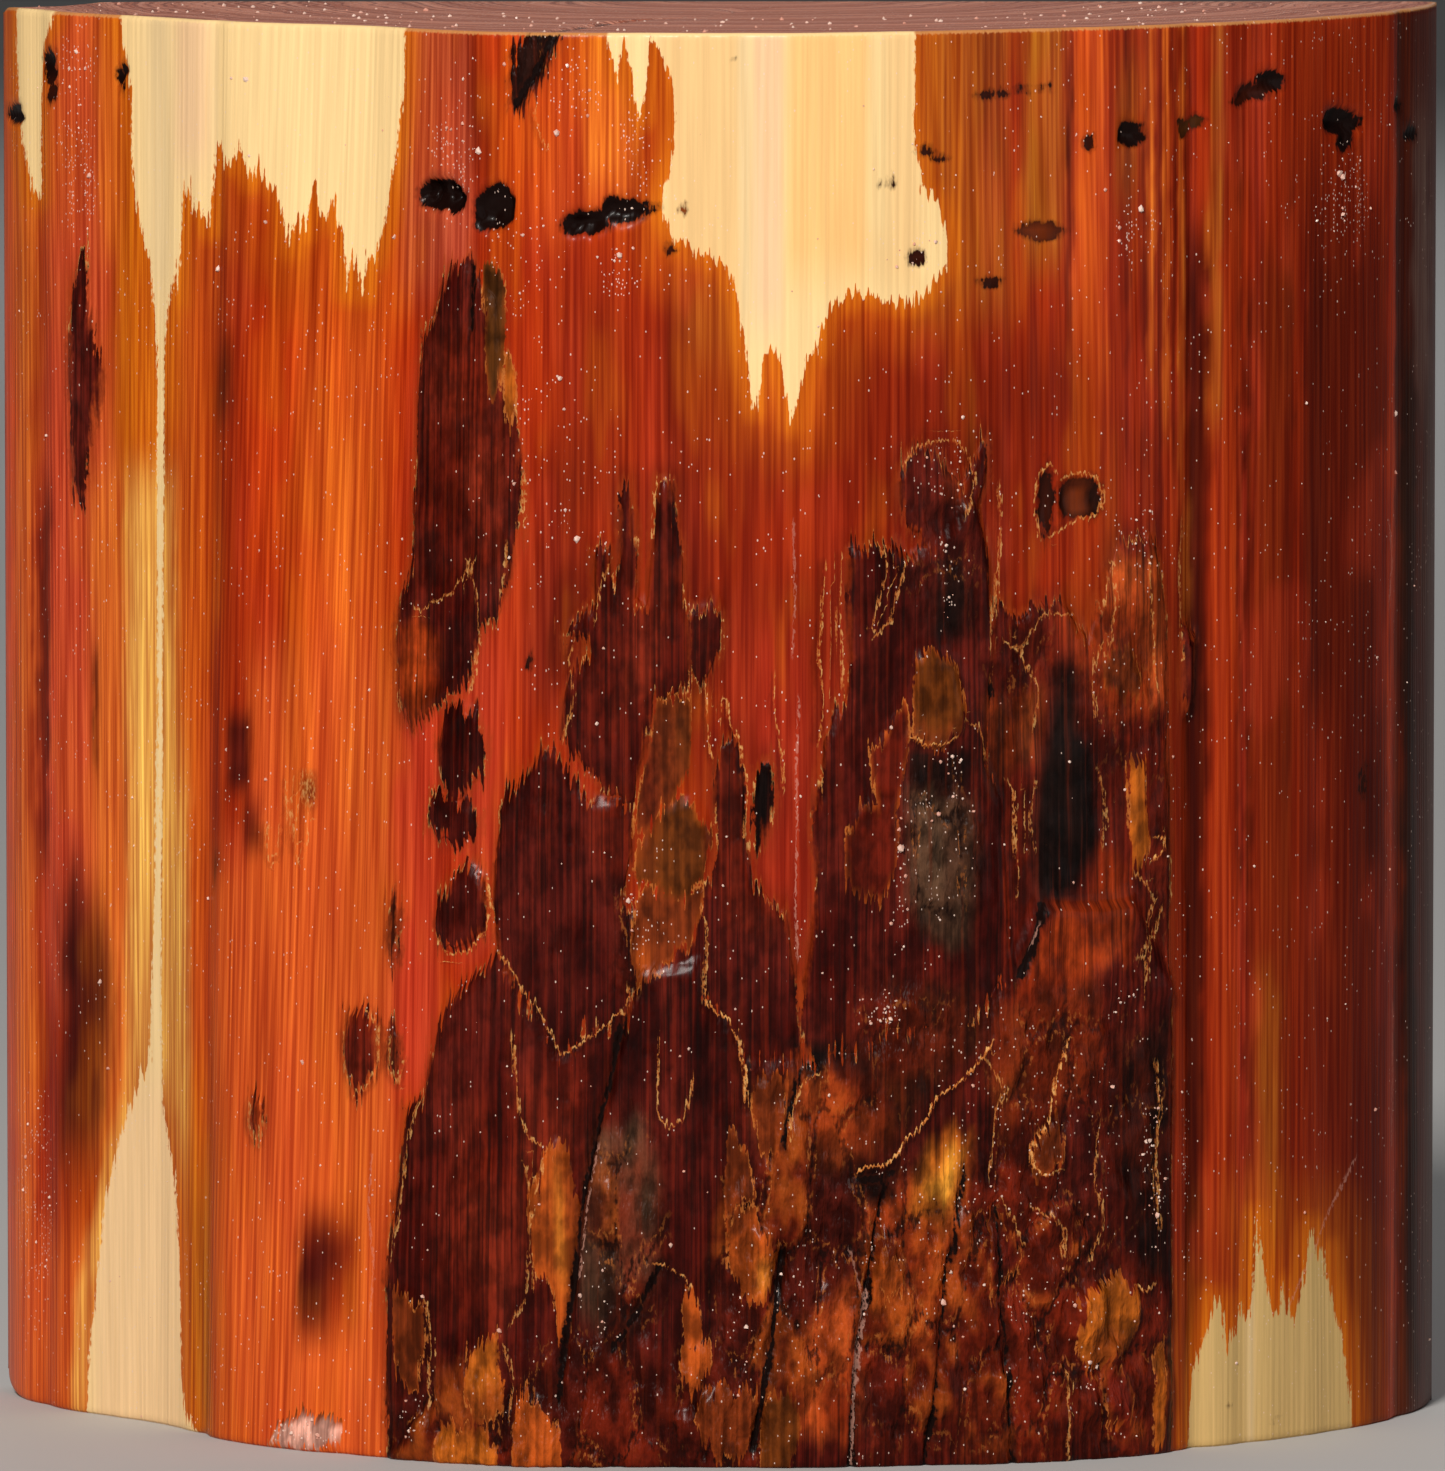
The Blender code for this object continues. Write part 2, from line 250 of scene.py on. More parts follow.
@dataclass(frozen=True)
class LogSection:
    """Outline of the log: half a swollen ellipse about the middle of the back edge."""

    height: float = 157.8
    half_width: float = 81.0
    round_depth: float = 63.0
    back_y: float = 33.677
    top_slope: float = 0.004
    corner: float = 2.2
    last_angle: float = 88.44
    # Swellings by angle, rise at the base and rise at the top, then furrows by angle, width and depth
    swell_width: float = 14.0
    swellings: tuple = ((-62, -6.5, -6.2), (-38, 1.5, -6.0), (-15, 4.0, 2.2), (12, 2.4, 3.0), (36, 3.0, 0.5))
    furrows: tuple = (
        (-76.5, 1.6, 0.5), (-52.6, 1.4, 0.6), (-33.0, 1.8, 0.35), (7.0, 1.6, 0.4), (38.6, 1.5, 0.5),
        (51.0, 1.5, 1.2), (56.5, 1.4, 0.4), (66.0, 2.0, 0.35), (77.5, 1.5, 0.6),
    )
    wear_reach: float = 7.0
    wear_height: float = 8.0
    wear_bottom: float = 2.2
    wear_top: float = 1.2

    def radius(self, angle: Array, level: Array) -> Array:
        """Distance of the bare round side from the middle of the back edge."""
        turn = np.radians(angle)
        radius = 1 / np.hypot(np.sin(turn) / self.half_width, np.cos(turn) / self.round_depth)
        share = np.clip(level / self.height, 0, 1)
        for centre, base_rise, top_rise in self.swellings:
            rise = base_rise + (top_rise - base_rise) * share
            radius = radius + rise * np.exp(-(((angle - centre) / self.swell_width) ** 2))
        return radius

    def furrow_depth(self, angle: Array) -> Array:
        """How deep the long furrows are at an angle."""
        return sum(d * np.exp(-(((angle - c) / w) ** 2)) for c, w, d in self.furrows)

    def skin(self, angle: Array, level: Array, lift: Array) -> Array:
        """Points of the round side at angles and heights, lifted off the bare outline."""
        radius = self.radius(angle, level) + lift
        turn = np.radians(angle)
        x, y = radius * np.sin(turn), self.back_y - radius * np.cos(turn)
        return np.stack([x, y, level + 0 * x], -1)

    def settle(self, points: Array) -> Array:
        """Slope the top and wear the left back corners.

        Args:
            points: Array of x, y, z with a level top.

        Returns:
            The points in their final place.
        """
        x, y, z = points.T
        wear = np.exp(-((np.hypot(x + self.half_width, y - self.back_y) / self.wear_reach) ** 2))
        lift = self.wear_bottom * wear * np.clip(1 - z / self.wear_height, 0, 1)
        drop = self.wear_top * wear * np.clip(1 - (self.height - z) / self.wear_height, 0, 1)
        sloped = z + self.top_slope * x * z / self.height + lift - drop
        return np.stack([x, y, sloped], -1)


def pairs(values: tuple[float, ...]) -> Array:
    """Numbers as rows of x and y."""
    return np.array(values, float).reshape(-1, 2)


def close_by(u: Array, v: Array, points: Array, reach: float) -> Array:
    """Indices of the places inside the box around some points, or within reach of it."""
    low, high = points.min(0) - reach, points.max(0) + reach
    return np.flatnonzero((u > low[0]) & (u < high[0]) & (v > low[1]) & (v < high[1]))


def segment_distance(p: Array, start: Array, end: Array) -> Array:
    """Distance of each point from the segment between start and end."""
    along = end - start
    share = np.clip(((p - start) @ along) / max(along @ along, 1e-9), 0, 1)
    return np.hypot(*(p - start - share[:, None] * along).T)


class Spot:
    """A mark with a tone and a soft rim, which tells how deep inside it a place lies."""

    def share(self, u: Array, v: Array) -> Array:
        """How much of the mark's colour each place has."""
        return ease(self.depth_inside(u, v), -self.soft, self.soft)


@dataclass(frozen=True)
class Patch(Spot):
    """A closed outline on the round side, in picture units, with its tone and rise."""

    tone: Tone
    outline: tuple[float, ...]
    rise: float = 0.8
    soft: float = 4.0

    def depth_inside(self, u: Array, v: Array, reach: float = 80.0) -> Array:
        """Signed distance to the outline.

        Args:
            u: Picture x of each place.
            v: Picture y of each place.
            reach: Furthest distance that counts.

        Returns:
            Distances in picture units, positive inside.
        """
        made = np.full(u.shape, -reach)
        a = pairs(self.outline)
        near = close_by(u, v, a, reach)
        if not len(near):
            return made
        p = np.stack([u[near], v[near]], -1)
        closest, inside = np.full(len(p), reach), np.zeros(len(p), bool)
        for start, end in zip(a, np.roll(a, -1, 0)):
            closest = np.minimum(closest, segment_distance(p, start, end))
            crosses = (start[1] > p[:, 1]) != (end[1] > p[:, 1])
            slope = (end[0] - start[0]) / (end[1] - start[1] + 1e-9)
            inside ^= crosses & (p[:, 0] < start[0] + slope * (p[:, 1] - start[1]))
        made[near] = np.where(inside, closest, -closest)
        return made


@dataclass(frozen=True)
class Strip:
    """A soft stripe of colour down the grain: path as x, y pairs from top to bottom."""

    tone: Tone
    path: tuple[float, ...]
    half_width: float
    strength: float = 1.0
    soft: float = 9.0
    fade: float = 45.0

    def share(self, u: Array, v: Array) -> Array:
        """How much of the stripe's colour each place has."""
        x, y = pairs(self.path).T
        gap = np.abs(u - np.interp(v, y, x))
        ends = ease(v, y[0] - self.fade, y[0] + self.fade) * ease(-v, -y[-1] - self.fade, self.fade - y[-1])
        return self.strength * ends * ease(-gap, -self.half_width - self.soft, self.soft - self.half_width)


@dataclass(frozen=True)
class Knot(Spot):
    """A hole or dark spot: centre, half sizes in picture units, and depth."""

    x: float
    y: float
    half_width: float
    half_height: float
    depth: float
    tone: Tone = Tone.BLACK
    soft: float = 6.0

    def depth_inside(self, u: Array, v: Array) -> Array:
        """Rough signed distance to the rim, positive inside."""
        gap = np.hypot((u - self.x) / self.half_width, (v - self.y) / self.half_height)
        return (1 - gap) * min(self.half_width, self.half_height)


@dataclass(frozen=True)
class Trail:
    """An open line, as x, y pairs: a crack, a thread of fibre or a scratch."""

    path: tuple[float, ...]
    half_width: float = 2.0
    depth: float = 0.8

    def depth_inside(self, u: Array, v: Array) -> Array:
        """Half width less the distance from the line."""
        a, p = pairs(self.path), np.stack([u, v], -1)
        gap = np.min([segment_distance(p, s, e) for s, e in zip(a[:-1], a[1:])], axis=0)
        return self.half_width - gap


def several(kind: type, *rows: tuple) -> tuple:
    """A mark of one kind for each row of values."""
    return tuple(kind(*row) for row in rows)


T = Tone

# Stripes of the waxed wood, painted in this order over the base tone. The darkest stripes down the furrows are painted
# shade.
WOOD_STRIPS = several(
    Strip,
    (T.EDGE_BROWN, (-20, -20, -20, 1500), 36), (T.PALE_ORANGE, (24, -20, 24, 1500), 8, 0.8),
    (T.LEFT_CRIMSON, (78, -20, 74, 1000), 36, 0.95, 14), (T.BRIGHT_ORANGE, (110, -20, 112, 240), 10, 0.9),
    (T.PALE_ORANGE, (112, 470, 112, 1150), 20, 0.9, 12), (T.AMBER, (138, 190, 140, 560), 20, 1.0, 12),
    (T.GOLD_WOOD, (152, 480, 157, 1090), 24, 0.9, 12), (T.ORANGE, (188, 230, 190, 1500), 14, 0.8),
    (T.AMBER, (190, 1060, 192, 1440), 11, 0.8), (T.WARM_BROWN, (230, 200, 228, 900), 16, 0.25, 12),
    (T.SALMON, (232, 850, 230, 1500), 24, 0.8, 12), (T.RED_ORANGE, (325, 230, 325, 660), 78, 0.8, 22),
    (T.WARM_BROWN, (262, 235, 262, 300), 52, 0.6, 26, 60), (T.ORANGE, (345, 330, 345, 700), 44, 0.85, 16),
    (T.SALMON, (326, 650, 322, 1500), 74, 0.95, 18), (T.BRIGHT_ORANGE, (340, 430, 345, 820), 12, 0.35, 14),
    (T.ROSE, (416, 700, 412, 1090), 24, 0.9, 12), (T.CRIMSON, (440, -20, 436, 290), 36, 0.95, 10),
    (T.BROWN_RED, (489, -20, 487, 170), 20, 0.85, 12, 60), (T.GOLD, (407, -20, 402, 170), 5, 0.7, 5),
    (T.RED_ORANGE, (530, -20, 560, 230), 58, 0.8, 20), (T.DEEP_ORANGE, (540, 250, 560, 560), 64, 0.9, 22, 70),
    (T.BRIGHT_ORANGE, (612, -20, 610, 190), 26, 0.9, 12), (T.ORANGE, (556, 60, 550, 230), 30, 0.6, 14),
    (T.RED, (548, 560, 540, 700), 48, 0.95, 20), (T.RED_ORANGE, (515, 560, 505, 780), 18, 0.7, 14),
    (T.ROSE, (478, 640, 486, 960), 26, 0.8, 14), (T.WARM_BROWN, (600, 290, 600, 520), 34, 0.7, 18),
    (T.RED, (700, 300, 710, 760), 50, 0.7, 22), (T.AMBER_BROWN, (706, 270, 716, 360), 30, 0.8, 14, 40),
    (T.WARM_BROWN, (750, 410, 750, 520), 60, 0.8, 22), (T.RED, (800, 560, 790, 760), 58, 0.6, 20),
    (T.HOT_RED, (780, 640, 792, 990), 26, 0.95, 10), (T.RED, (876, 330, 870, 540), 56, 0.7, 22),
    (T.ORANGE, (782, 340, 790, 420), 34, 0.6, 14, 40), (T.AMBER_BROWN, (960, -20, 962, 320), 48, 0.95, 12),
    (T.HONEY, (1046, -20, 1044, 260), 20, 0.9, 10), (T.RED, (1010, 330, 1030, 620), 96, 0.85, 22, 80),
    (T.DEEP_ORANGE, (1060, 420, 1060, 620), 26, 0.6, 16), (T.RIGHT_ORANGE, (1092, 300, 1092, 600), 14, 0.8, 8),
    (T.ORANGE, (1092, -20, 1092, 330), 17, 0.95, 7, 90), (T.RIGHT_RED, (1156, -20, 1150, 520), 46, 0.9, 12),
    (T.AMBER_BROWN, (1128, 60, 1126, 200), 12, 0.7, 8), (T.RED, (1140, 420, 1140, 700), 34, 0.7, 16),
    (T.OLIVE, (1220, -20, 1220, 230), 6, 0.7, 5), (T.RIGHT_RED, (1178, 430, 1178, 1500), 16, 0.95, 5),
    (T.GROOVE_SHADE, (1204, 225, 1198, 1500), 10, 1.0, 5), (T.AMBER_BROWN, (1192, 500, 1190, 620), 6, 0.7, 4, 20),
    (T.RIGHT_ORANGE, (1230, 150, 1228, 1290), 15, 0.9, 6), (T.RIGHT_RED, (1262, -20, 1258, 230), 50, 0.8, 10),
    (T.ROSE, (1245, 420, 1245, 1290), 4, 0.8, 4), (T.GROOVE_SHADE, (1251, 280, 1251, 1500), 4, 0.9, 4),
    (T.RUST, (1276, 240, 1274, 1260), 19, 0.85, 8), (T.HONEY, (1268, 980, 1268, 1240), 9, 0.6, 8),
    (T.WARM_BROWN, (1345, -20, 1345, 320), 46, 0.7, 10), (T.BROWN_RED, (1346, 200, 1344, 1500), 44, 0.95, 12, 120),
    (T.RIGHT_RED, (1318, 700, 1316, 1300), 14, 0.7, 12), (T.GROOVE_SHADE, (1372, 760, 1372, 860), 10, 0.8, 8, 20),
    (T.RED_ORANGE, (1393, 120, 1393, 1420), 4.5, 0.85, 4), (T.FLANK_BROWN, (1446, -20, 1446, 1500), 47, 0.95, 3),
    (T.GREY_PINK, (1422, 130, 1422, 380), 6, 0.7, 4, 70), (T.GREY_BROWN, (1411, 350, 1412, 1400), 5, 0.8, 4),
    (T.GREY, (1428, 380, 1428, 1500), 4, 0.45, 4), (T.RUST, (1402, 400, 1402, 1400), 2.5, 0.5, 3),
    (T.MAROON, (80, 900, 88, 1000, 80, 1160), 25, 0.95, 12, 60), (T.MAROON, (1128, -20, 1128, 470), 2.5, 0.6, 3),
    (T.MAROON, (1146, -20, 1145, 520), 2.5, 0.65, 3), (T.MAROON, (1161, -20, 1160, 560), 2.5, 0.6, 3),
    (T.MAROON, (1176, -20, 1175, 480), 2.5, 0.65, 3), (T.BRIGHT_ORANGE, (1153, -20, 1152, 380), 2.5, 0.5, 3),
    (T.BRIGHT_ORANGE, (1168, -20, 1167, 420), 2.5, 0.5, 3), (T.BRIGHT_ORANGE, (1186, -20, 1184, 500), 3, 0.5, 3),
    (T.MAROON, (1194, -20, 1193, 400), 2.5, 0.6, 3), (T.HONEY, (1219, -20, 1217, 420), 4, 0.6, 4),
    (T.MAROON, (1240, 60, 1240, 900), 2.5, 0.6, 3), (T.MAROON, (1290, 160, 1288, 800), 3, 0.5, 4),
    (T.MAROON, (42, 490, 38, 860), 6, 0.8, 5), (T.MAROON, (74, 850, 70, 990), 8, 0.7, 8),
    (T.SALMON, (50, 1240, 48, 1420), 46, 0.9, 14), (T.MAROON, (95, 650, 96, 770), 3, 0.8, 3, 20),
    (T.MAROON, (224, 340, 222, 420), 9, 0.75, 7, 30), (T.MAROON, (240, 715, 238, 790), 12, 1.0, 5, 18),
    (T.MAROON, (252, 800, 252, 850), 9, 0.8, 6, 20), (T.DARK_BROWN, (214, 850, 214, 885), 4, 0.8, 4, 15),
    (T.WARM_BROWN, (330, 1215, 326, 1330), 30, 0.9, 12, 40), (T.MAROON, (314, 1225, 311, 1330), 15, 0.95, 7, 38),
    (T.MAROON, (333, 1230, 330, 1280), 14, 0.7, 10, 30), (T.GOLD_WOOD, (132, 1090, 86, 1300), 8, 0.8, 9, 60),
    (T.GOLD_WOOD, (86, 1300, 74, 1500), 7, 0.7, 7), (T.GOLD_WOOD, (178, 780, 180, 1140), 9, 0.75, 8, 90),
    (T.HONEY, (196, 1180, 206, 1500), 9, 0.9, 7, 90), (T.MAROON, (309, 775, 309, 805), 5, 0.95, 3, 12),
    (T.BROWN_RED, (562, 450, 550, 690), 26, 0.45, 14), (T.MAROON, (403, 610, 402, 720), 6, 0.8, 5, 25),
    (T.DARK_BROWN, (972, 390, 972, 560), 3, 0.6, 5), (T.DARK_BROWN, (1071, 40, 1071, 330), 3, 0.8, 3),
)

CREAM_STRIPS = several(
    Strip,
    (T.TAN_CREAM, (700, -20, 704, 330), 38, 0.85, 9), (T.TAN_CREAM, (800, 180, 900, 290), 30, 0.4, 20),
    (T.TAN_CREAM, (900, -20, 905, 280), 16, 0.7, 10), (T.GREY_CREAM, (158, -20, 160, 300), 12, 0.75, 12),
    (T.PINK_CREAM, (192, -20, 190, 170), 16, 0.8, 8), (T.GREY_CREAM, (211, 20, 211, 260), 2.5, 0.6, 3),
    # The grey stripe at x 744 is painted shade in a fold of the cream
    (T.GREY_CREAM, (744, -20, 746, 330), 6, 0.75, 4), (T.PINK_CREAM, (768, -20, 768, 330), 15, 0.95, 5),
    (T.ORANGE_CREAM, (830, -20, 826, 280), 40, 0.85, 8), (T.GREY_CREAM, (160, 300, 156, 1100), 10, 0.3, 8),
    (T.GREEN_CREAM, (1270, 1200, 1270, 1500), 100, 0.95, 10), (T.PINK_CREAM, (140, 1080, 140, 1480), 46, 0.55, 12),
    (T.GREY_CREAM, (1253, 1280, 1253, 1480), 2.5, 0.7, 3),
)

# Cream sapwood: ragged tongues between the two ends
CREAM = several(
    Patch,
    (T.CREAM, (18, -30, 18, 50, 20, 100, 23, 140, 32, 198, 38, 196, 38, 130, 42, 45, 54, 20, 56, -30)),
    (T.CREAM, (116, -30, 119, 20, 122, 45, 127, 62, 131, 95, 132, 150, 136, 195, 142, 230, 150, 262, 156.5, 345, 157.5,
        700, 155, 900, 150, 1060, 140, 1078, 120, 1140, 105, 1200, 91, 1340, 84, 1490, 204, 1490, 194, 1430, 184, 1410,
        181, 1380, 180, 1300, 175, 1180, 162, 1100, 161, 980, 164, 345, 172, 262, 176, 300, 183, 196, 187, 182, 193,
        212, 197, 200, 206, 228, 212, 150, 217, 143, 222, 162, 232, 165, 238, 140, 243, 165, 252, 180, 256, 160, 263,
        175, 280, 195, 290, 248, 294, 222, 298, 212, 304, 232, 309, 198, 314, 186, 320, 206, 328, 216, 333, 200, 337,
        226, 340, 215, 344, 240, 347, 292, 352, 252, 358, 270, 362, 292, 367, 252, 372, 262, 385, 222, 397, 148, 404,
        80, 406, -30)),
    (T.CREAM, (604, -30, 608, 40, 617, 78, 621, 50, 626, 44, 636, 98, 643, 116, 651, 36, 655, 38, 661, 56, 669, 72,
        674, 92, 675, 122, 673, 152, 662, 206, 668, 224, 676, 242, 690, 242, 694, 256, 706, 252, 715, 262, 725, 262,
        739, 302, 752, 392, 756, 408, 765, 352, 772, 346, 778, 352, 792, 422, 807, 356, 815, 352, 827, 312, 836, 304,
        849, 300, 854, 293, 872, 293, 892, 302, 908, 303, 922, 296, 936, 282, 945, 268, 947, 245, 945, 225, 938, 206,
        929, 193, 921, 188, 920, 165, 915, 150, 912, 125, 914, 90, 915, -30)),
    (T.CREAM, (1190, 1490, 1198, 1392, 1205, 1352, 1218, 1300, 1223, 1304, 1226, 1345, 1228, 1350, 1235, 1320, 1238,
        1336, 1244, 1302, 1248, 1316, 1252, 1318, 1259, 1218, 1267, 1288, 1273, 1308, 1279, 1314, 1283, 1286, 1292,
        1324, 1298, 1312, 1303, 1292, 1309, 1240, 1313, 1228, 1318, 1256, 1326, 1250, 1329, 1276, 1344, 1338, 1351,
        1402, 1356, 1490)),
)

# Bark left on the wood
BARK = several(
    Patch,
    (T.MAROON, (452, 262, 470, 262, 482, 290, 497, 300, 519, 440, 523, 490, 520, 545, 500, 608, 482, 630, 474, 665,
        462, 690, 430, 715, 412, 735, 400, 700, 396, 640, 402, 600, 414, 560, 418, 390, 424, 340), 0.6),
    (T.MAROON, (462, 700, 478, 712, 486, 740, 482, 770, 468, 793, 450, 798, 440, 780, 440, 745, 448, 715), 0.6),
    (T.MAROON, (432, 792, 466, 800, 477, 815, 474, 836, 462, 846, 442, 842, 430, 826), 0.6),
    (T.MAROON, (470, 862, 486, 878, 490, 905, 480, 932, 462, 950, 444, 948, 436, 925, 442, 895, 455, 872), 0.7),
    (T.MAROON, (500, 806, 545, 750, 556, 752, 580, 785, 596, 800, 618, 800, 632, 812, 634, 850, 622, 900, 636, 925,
        632, 945, 640, 975, 626, 1010, 600, 1030, 575, 1042, 563, 1056, 522, 995, 500, 950, 494, 900), 0.9),
    (T.MAROON, (594, 548, 610, 545, 614, 590, 622, 560, 620, 500, 628, 485, 634, 520, 636, 600, 646, 600, 660, 480,
        672, 485, 682, 560, 682, 600, 690, 615, 690, 672, 680, 698, 662, 700, 655, 690, 648, 745, 636, 800, 610, 795,
        590, 765, 575, 755, 565, 735, 563, 700, 566, 686, 592, 655, 586, 640, 566, 640, 563, 630, 580, 620, 594, 605),
        0.7),
    (T.MAROON, (690, 612, 716, 600, 722, 615, 722, 640, 715, 662, 705, 680, 694, 684, 690, 660), 0.6),
    (T.RED_BARK, (712, 770, 722, 745, 732, 740, 740, 760, 752, 880, 765, 900, 785, 905, 792, 930, 800, 1010, 800, 1060,
        745, 1060, 740, 1030, 705, 1000, 700, 900, 712, 880, 717, 850), 0.4),
    (T.BLACK, (766, 757, 772, 775, 774, 800, 760, 850, 755, 845, 752, 790, 754, 770), 0.1),
    (T.MAROON, (850, 548, 893, 545, 904, 560, 930, 548, 950, 530, 960, 500, 975, 500, 988, 560, 992, 640, 985, 760,
        1000, 800, 1008, 960, 985, 1010, 950, 1030, 900, 1030, 845, 1048, 815, 1062, 803, 1030, 803, 980, 812, 930,
        816, 880, 814, 830, 818, 780, 824, 745, 848, 690, 850, 650, 846, 600), 1.0),
    (T.RED_BARK, (990, 610, 1020, 620, 1030, 610, 1060, 600, 1090, 640, 1110, 560, 1125, 540, 1150, 535, 1158, 560,
        1165, 620, 1170, 1000, 1000, 1010, 1000, 800, 985, 760, 990, 700), 0.4),
    (T.MAROON, (1188, 625, 1198, 640, 1196, 700, 1188, 712, 1183, 690), 0.2),
    (T.MAROON, (640, 988, 672, 960, 694, 936, 706, 903, 720, 903, 720, 1000, 640, 1000), 0.1),
    (T.MAROON, (905, 455, 925, 445, 935, 455, 945, 475, 960, 480, 975, 462, 985, 440, 985, 480, 975, 510, 965, 530,
        950, 545, 925, 550, 905, 525, 897, 485), 0.5),
    (T.MAROON, (440, 1020, 452, 1000, 500, 950, 522, 995, 563, 1056, 575, 1042, 600, 1030, 626, 1010, 640, 975, 700,
        960, 705, 1000, 740, 1030, 745, 1060, 815, 1062, 845, 1048, 900, 1030, 950, 1030, 985, 1010, 1035, 905, 1098,
        905, 1130, 900, 1170, 985, 1170, 1500, 388, 1500, 388, 1290, 391, 1240, 408, 1110, 425, 1100), 1.1),
    (T.RED_BARK, (348, 1012, 365, 1010, 378, 1030, 376, 1060, 356, 1100, 346, 1080, 343, 1045), 0.4),
    (T.DARK_BROWN, (388, 1030, 398, 1040, 400, 1060, 394, 1080, 386, 1068), 0.4),
    (T.DARK_BROWN, (392, 892, 399, 905, 401, 940, 394, 970, 388, 945, 388, 910), 0.4),
    (T.RUST, (252, 1092, 261, 1096, 262, 1120, 254, 1140, 248, 1120), 0.3),
    (T.MAROON, (80, 248, 85, 266, 86, 302, 93, 320, 94, 345, 100, 356, 100, 388, 95, 416, 90, 440, 87, 468, 82, 505,
        74, 496, 71, 440, 70, 380, 70, 322, 73, 300, 77, 270), 0.3),
    (T.BLACK, (534, 26, 562, 28, 550, 62, 533, 92, 519, 108, 508, 104, 513, 90, 505, 78, 515, 68, 509, 52, 522, 44),
        0.3),
)

# Tones inside the bark
BARK_TONES = several(
    Patch,
    (T.RED_BARK, (430, 330, 500, 330, 522, 420, 505, 560, 440, 600, 425, 480), 0, 30),
    (T.RUST, (395, 640, 420, 610, 440, 640, 436, 720, 412, 750, 396, 710), 0, 10),
    (T.RED_BARK, (596, 560, 700, 560, 700, 700, 640, 745, 590, 740, 566, 690), 0, 26),
    (T.RED_BARK, (596, 780, 640, 770, 640, 860, 610, 880, 590, 830), 0, 14),
    (T.RED_BARK, (470, 1100, 590, 1050, 600, 1120, 500, 1330, 430, 1330, 440, 1200), 0, 34),
    (T.BLACK, (1068, 650, 1076, 668, 1082, 735, 1092, 745, 1098, 770, 1098, 845, 1072, 895, 1055, 905, 1036, 905, 1030,
        880, 1030, 800, 1056, 665), 0.4, 13),
    (T.GREY, (596, 1136, 640, 1120, 663, 1180, 660, 1260, 640, 1300, 600, 1332, 580, 1300), 0, 14),
    (T.GREY, (905, 790, 935, 785, 970, 800, 975, 860, 965, 950, 930, 940, 905, 900), 0, 10),
    (T.BLACK, (905, 750, 970, 750, 968, 790, 905, 792), 0, 8),
    (T.BLACK, (938, 560, 962, 560, 968, 600, 960, 640, 925, 640), 0, 14),
    (T.RUST, (942, 455, 965, 452, 970, 480, 960, 508, 944, 500), 0, 8),
    (T.MAROON, (715, 930, 800, 930, 800, 1045, 715, 1045), 0, 18),
    (T.GLOW, (1095, 560, 1160, 560, 1165, 700, 1130, 715, 1100, 690), 0, 14),
    (T.BROWN_FLAKE, (748, 1080, 800, 1075, 850, 1100, 900, 1100, 890, 1150, 850, 1165, 800, 1170, 770, 1160, 750,
        1120), 0, 14),
    (T.DARK_BROWN, (840, 1050, 985, 1010, 980, 1045, 930, 1085, 905, 1130, 845, 1090), 0, 14),
    (T.GLOW, (870, 1200, 900, 1180, 960, 1190, 955, 1290, 930, 1340, 880, 1340, 860, 1300), 0, 14),
    (T.GLOW, (800, 1330, 850, 1280, 862, 1350, 848, 1440, 800, 1440, 790, 1380), 0, 16),
    (T.GLOW, (800, 1064, 850, 1076, 858, 1125, 836, 1158, 806, 1140), 0, 10),
    (T.RED_BARK, (1000, 1150, 1100, 1230, 1060, 1300, 1010, 1290, 990, 1230), 0, 16),
    (T.MAROON, (663, 1130, 716, 1000, 740, 1060, 748, 1115, 720, 1290, 665, 1260), 0, 10),
    (T.RED_BARK, (960, 1290, 1060, 1290, 1060, 1460, 960, 1460), 0, 20),
    (T.BLACK, (1110, 1040, 1165, 1020, 1168, 1280, 1140, 1280, 1110, 1180), 0, 14),
    (T.BROWN_FLAKE, (1000, 1010, 1080, 980, 1090, 1060, 1050, 1110, 1000, 1140, 990, 1080), 0, 16),
    (T.BLACK, (610, 1290, 640, 1280, 660, 1290, 640, 1340, 600, 1360), 0, 10),
    (T.RUST, (1100, 905, 1060, 905, 1020, 960, 1010, 1000, 1080, 980, 1110, 940), 0, 14),
    (T.BROWN_FLAKE, (985, 700, 1040, 690, 1030, 760, 990, 780), 0, 14),
    (T.RUST, (1100, 850, 1126, 870, 1120, 960, 1080, 960, 1090, 900), 0, 12),
    (T.RUST, (1060, 610, 1110, 600, 1150, 620, 1150, 700, 1110, 720), 0, 18),
    (T.DARK_BROWN, (890, 985, 970, 985, 960, 1060, 890, 1060), 0, 14),
    (T.BLACK, (785, 1040, 880, 1045, 860, 1080, 800, 1075), 0, 9),
    (T.BLACK, (850, 1168, 900, 1165, 895, 1200, 850, 1200), 0, 9),
    (T.GOLD_FLAKE, (902, 1215, 925, 1150, 950, 1128, 968, 1135, 962, 1190, 935, 1230), 0, 12),
    (T.BRIGHT_GOLD, (926, 1192, 946, 1150, 960, 1144, 957, 1172, 942, 1196), 0, 9),
)

